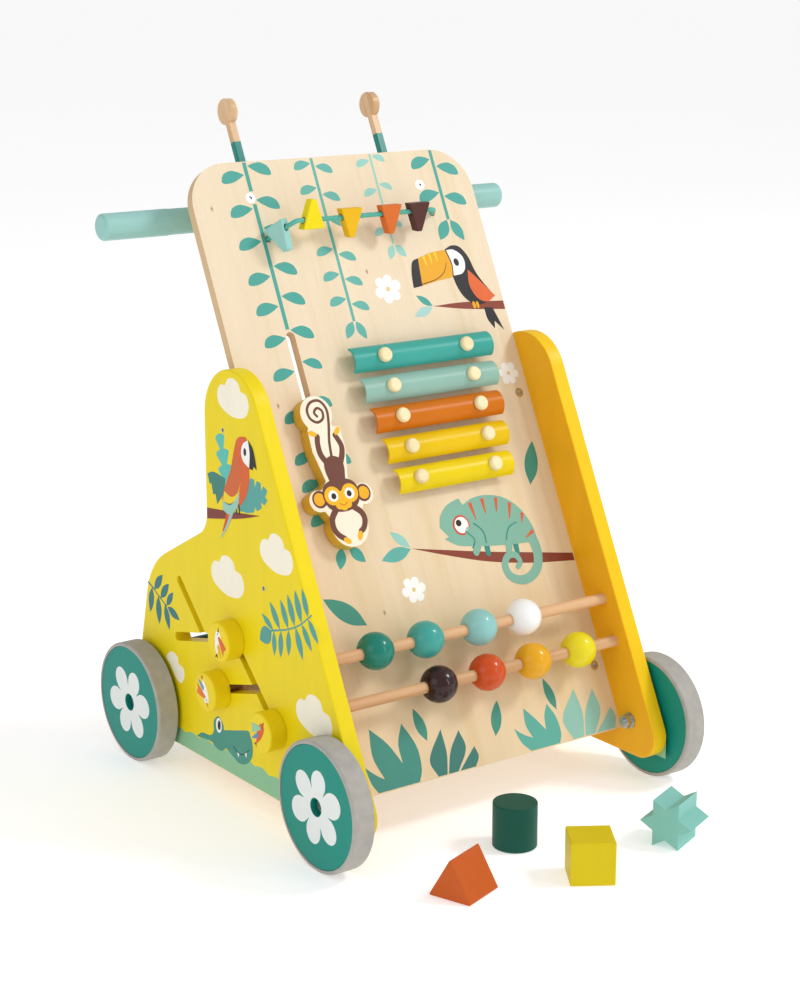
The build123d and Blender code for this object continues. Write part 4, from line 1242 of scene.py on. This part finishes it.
def tube(points, radius, relief, sides=20, closed=False):
    """A tube along the points whose radius follows relief(turn, distance)."""
    verts, faces = [], []
    normal = None
    travelled = 0.0
    count = len(points)
    for i, point in enumerate(points):
        ahead = points[(i + 1) % count] if closed else points[min(i + 1, count - 1)]
        behind = points[i - 1] if closed or i else points[0]
        along = (ahead - behind).normalized()
        if normal is None:
            normal = along.orthogonal().normalized()
        normal = (normal - along * normal.dot(along)).normalized()
        other = along.cross(normal)
        for k in range(sides):
            turn = math.tau * k / sides
            reach = radius * relief(turn, travelled)
            verts.append(point + (normal * math.cos(turn) + other * math.sin(turn)) * reach)
        travelled += (ahead - point).length
    for i in range(count if closed else count - 1):
        for k in range(sides):
            j, m = (i + 1) % count, (k + 1) % sides
            faces.append([i * sides + k, i * sides + m, j * sides + m, j * sides + k])
    if not closed:
        faces += [list(range(sides))[::-1], [(count - 1) * sides + k for k in range(sides)]]
    return verts, faces


def braid(turn, distance):
    """Two sets of strands crossing each other round the cord."""
    lay = math.tau * distance / STRAND_LAY
    return 1.0 - STRAND_RELIEF * (1 - abs(math.cos(2 * turn + lay) * math.cos(2 * turn - lay)))


line = cord_line()
verts, faces = tube(respaced(line, 0.0004), CORD_DIAMETER / 2, braid)
cord = mesh_piece("garland_braid", verts, faces, CORD, "root")
for polygon in cord.data.polygons:
    polygon.use_smooth = True
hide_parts("garland_cord")

# a trefoil knot at each end stops the cord behind the board
knots = []
for place in (cord_route[0], cord_route[-1]):
    loop = []
    for k in range(120):
        t = math.tau * k / 120
        a, b = math.sin(t) + 2 * math.sin(2 * t), math.cos(t) - 2 * math.cos(2 * t)
        rise = KNOT_H - KNOT_SWELL * math.sin(3 * t)
        loop.append(BOARD.at(place[0] + a * KNOT_SIZE, place[1] + b * KNOT_SIZE, rise))
    knots.append(tube(loop, KNOT_STRAND, braid, 14, True))
verts, faces = [], []
for more_verts, more_faces in knots:
    faces += [[i + len(verts) for i in face] for face in more_faces]
    verts += more_verts
knot_piece = mesh_piece("garland_stopper_knots", verts, faces, CORD, "root")
for polygon in knot_piece.data.polygons:
    polygon.use_smooth = True
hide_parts("garland_knots")
respaced(line, 0.001)

# ---- floor, light and camera --------------------------------------------------------------------------
build = bmesh.new()
bmesh.ops.create_grid(build, x_segments=12, y_segments=12, size=60.0)
floor_mesh = bpy.data.meshes.new("floor")
build.to_mesh(floor_mesh)
build.free()
floor = bpy.data.objects.new("floor", floor_mesh)
floor_mesh.transform(Matrix.Translation((0, 0, -0.0002)))
bpy.context.scene.collection.objects.link(floor)
graph = Graph("pale floor")
place, _ = graph.place(Y_AXIS)
graph.set(
    Base_Color=graph.mix(graph.noise(place, 3.0), srgb(244, 244, 244), srgb(248, 248, 248)), Roughness=0.9
)
graph.set(Specular_IOR_Level=0.1, Emission_Color=(1, 1, 1, 1), Emission_Strength=0.36)
floor_mesh.materials.append(graph.material)

scene = bpy.context.scene
scene.view_settings.view_transform = "Standard"
world = bpy.data.worlds.new("studio")
world.use_nodes = True
world.node_tree.nodes["Background"].inputs["Color"].default_value = (1, 1, 1, 1)
world.node_tree.nodes["Background"].inputs["Strength"].default_value = 0.63
scene.world = world


def softbox(name, place, target, width, height, power):
    """A rectangular studio light aimed at a point."""
    data = bpy.data.lights.new(name, "AREA")
    data.shape = "RECTANGLE"
    data.size, data.size_y, data.energy = width, height, power
    light = bpy.data.objects.new(name, data)
    light.location = place
    light.rotation_euler = (Vector(target) - Vector(place)).to_track_quat("-Z", "Y").to_euler()
    scene.collection.objects.link(light)


softbox("key", (2.0, -1.4, 2.5), (0, 0, 0.2), 0.7, 0.7, 38)
softbox("strip", (0.9, -1.9, 0.9), (0, 0, 0.2), 0.1, 1.1, 4)
softbox("fill", (-2.2, -0.8, 1.4), (0, 0, 0.25), 1.6, 1.6, 8)

camera_data = bpy.data.cameras.new("camera")
camera_data.lens = 76.09
camera_data.sensor_width = 36.0
camera = bpy.data.objects.new("camera", camera_data)
camera.location = (-0.96101, -1.27725, 0.64814)
camera.rotation_euler = (math.radians(90 - 14.48), 0, math.radians(-36.11))
scene.collection.objects.link(camera)
scene.camera = camera
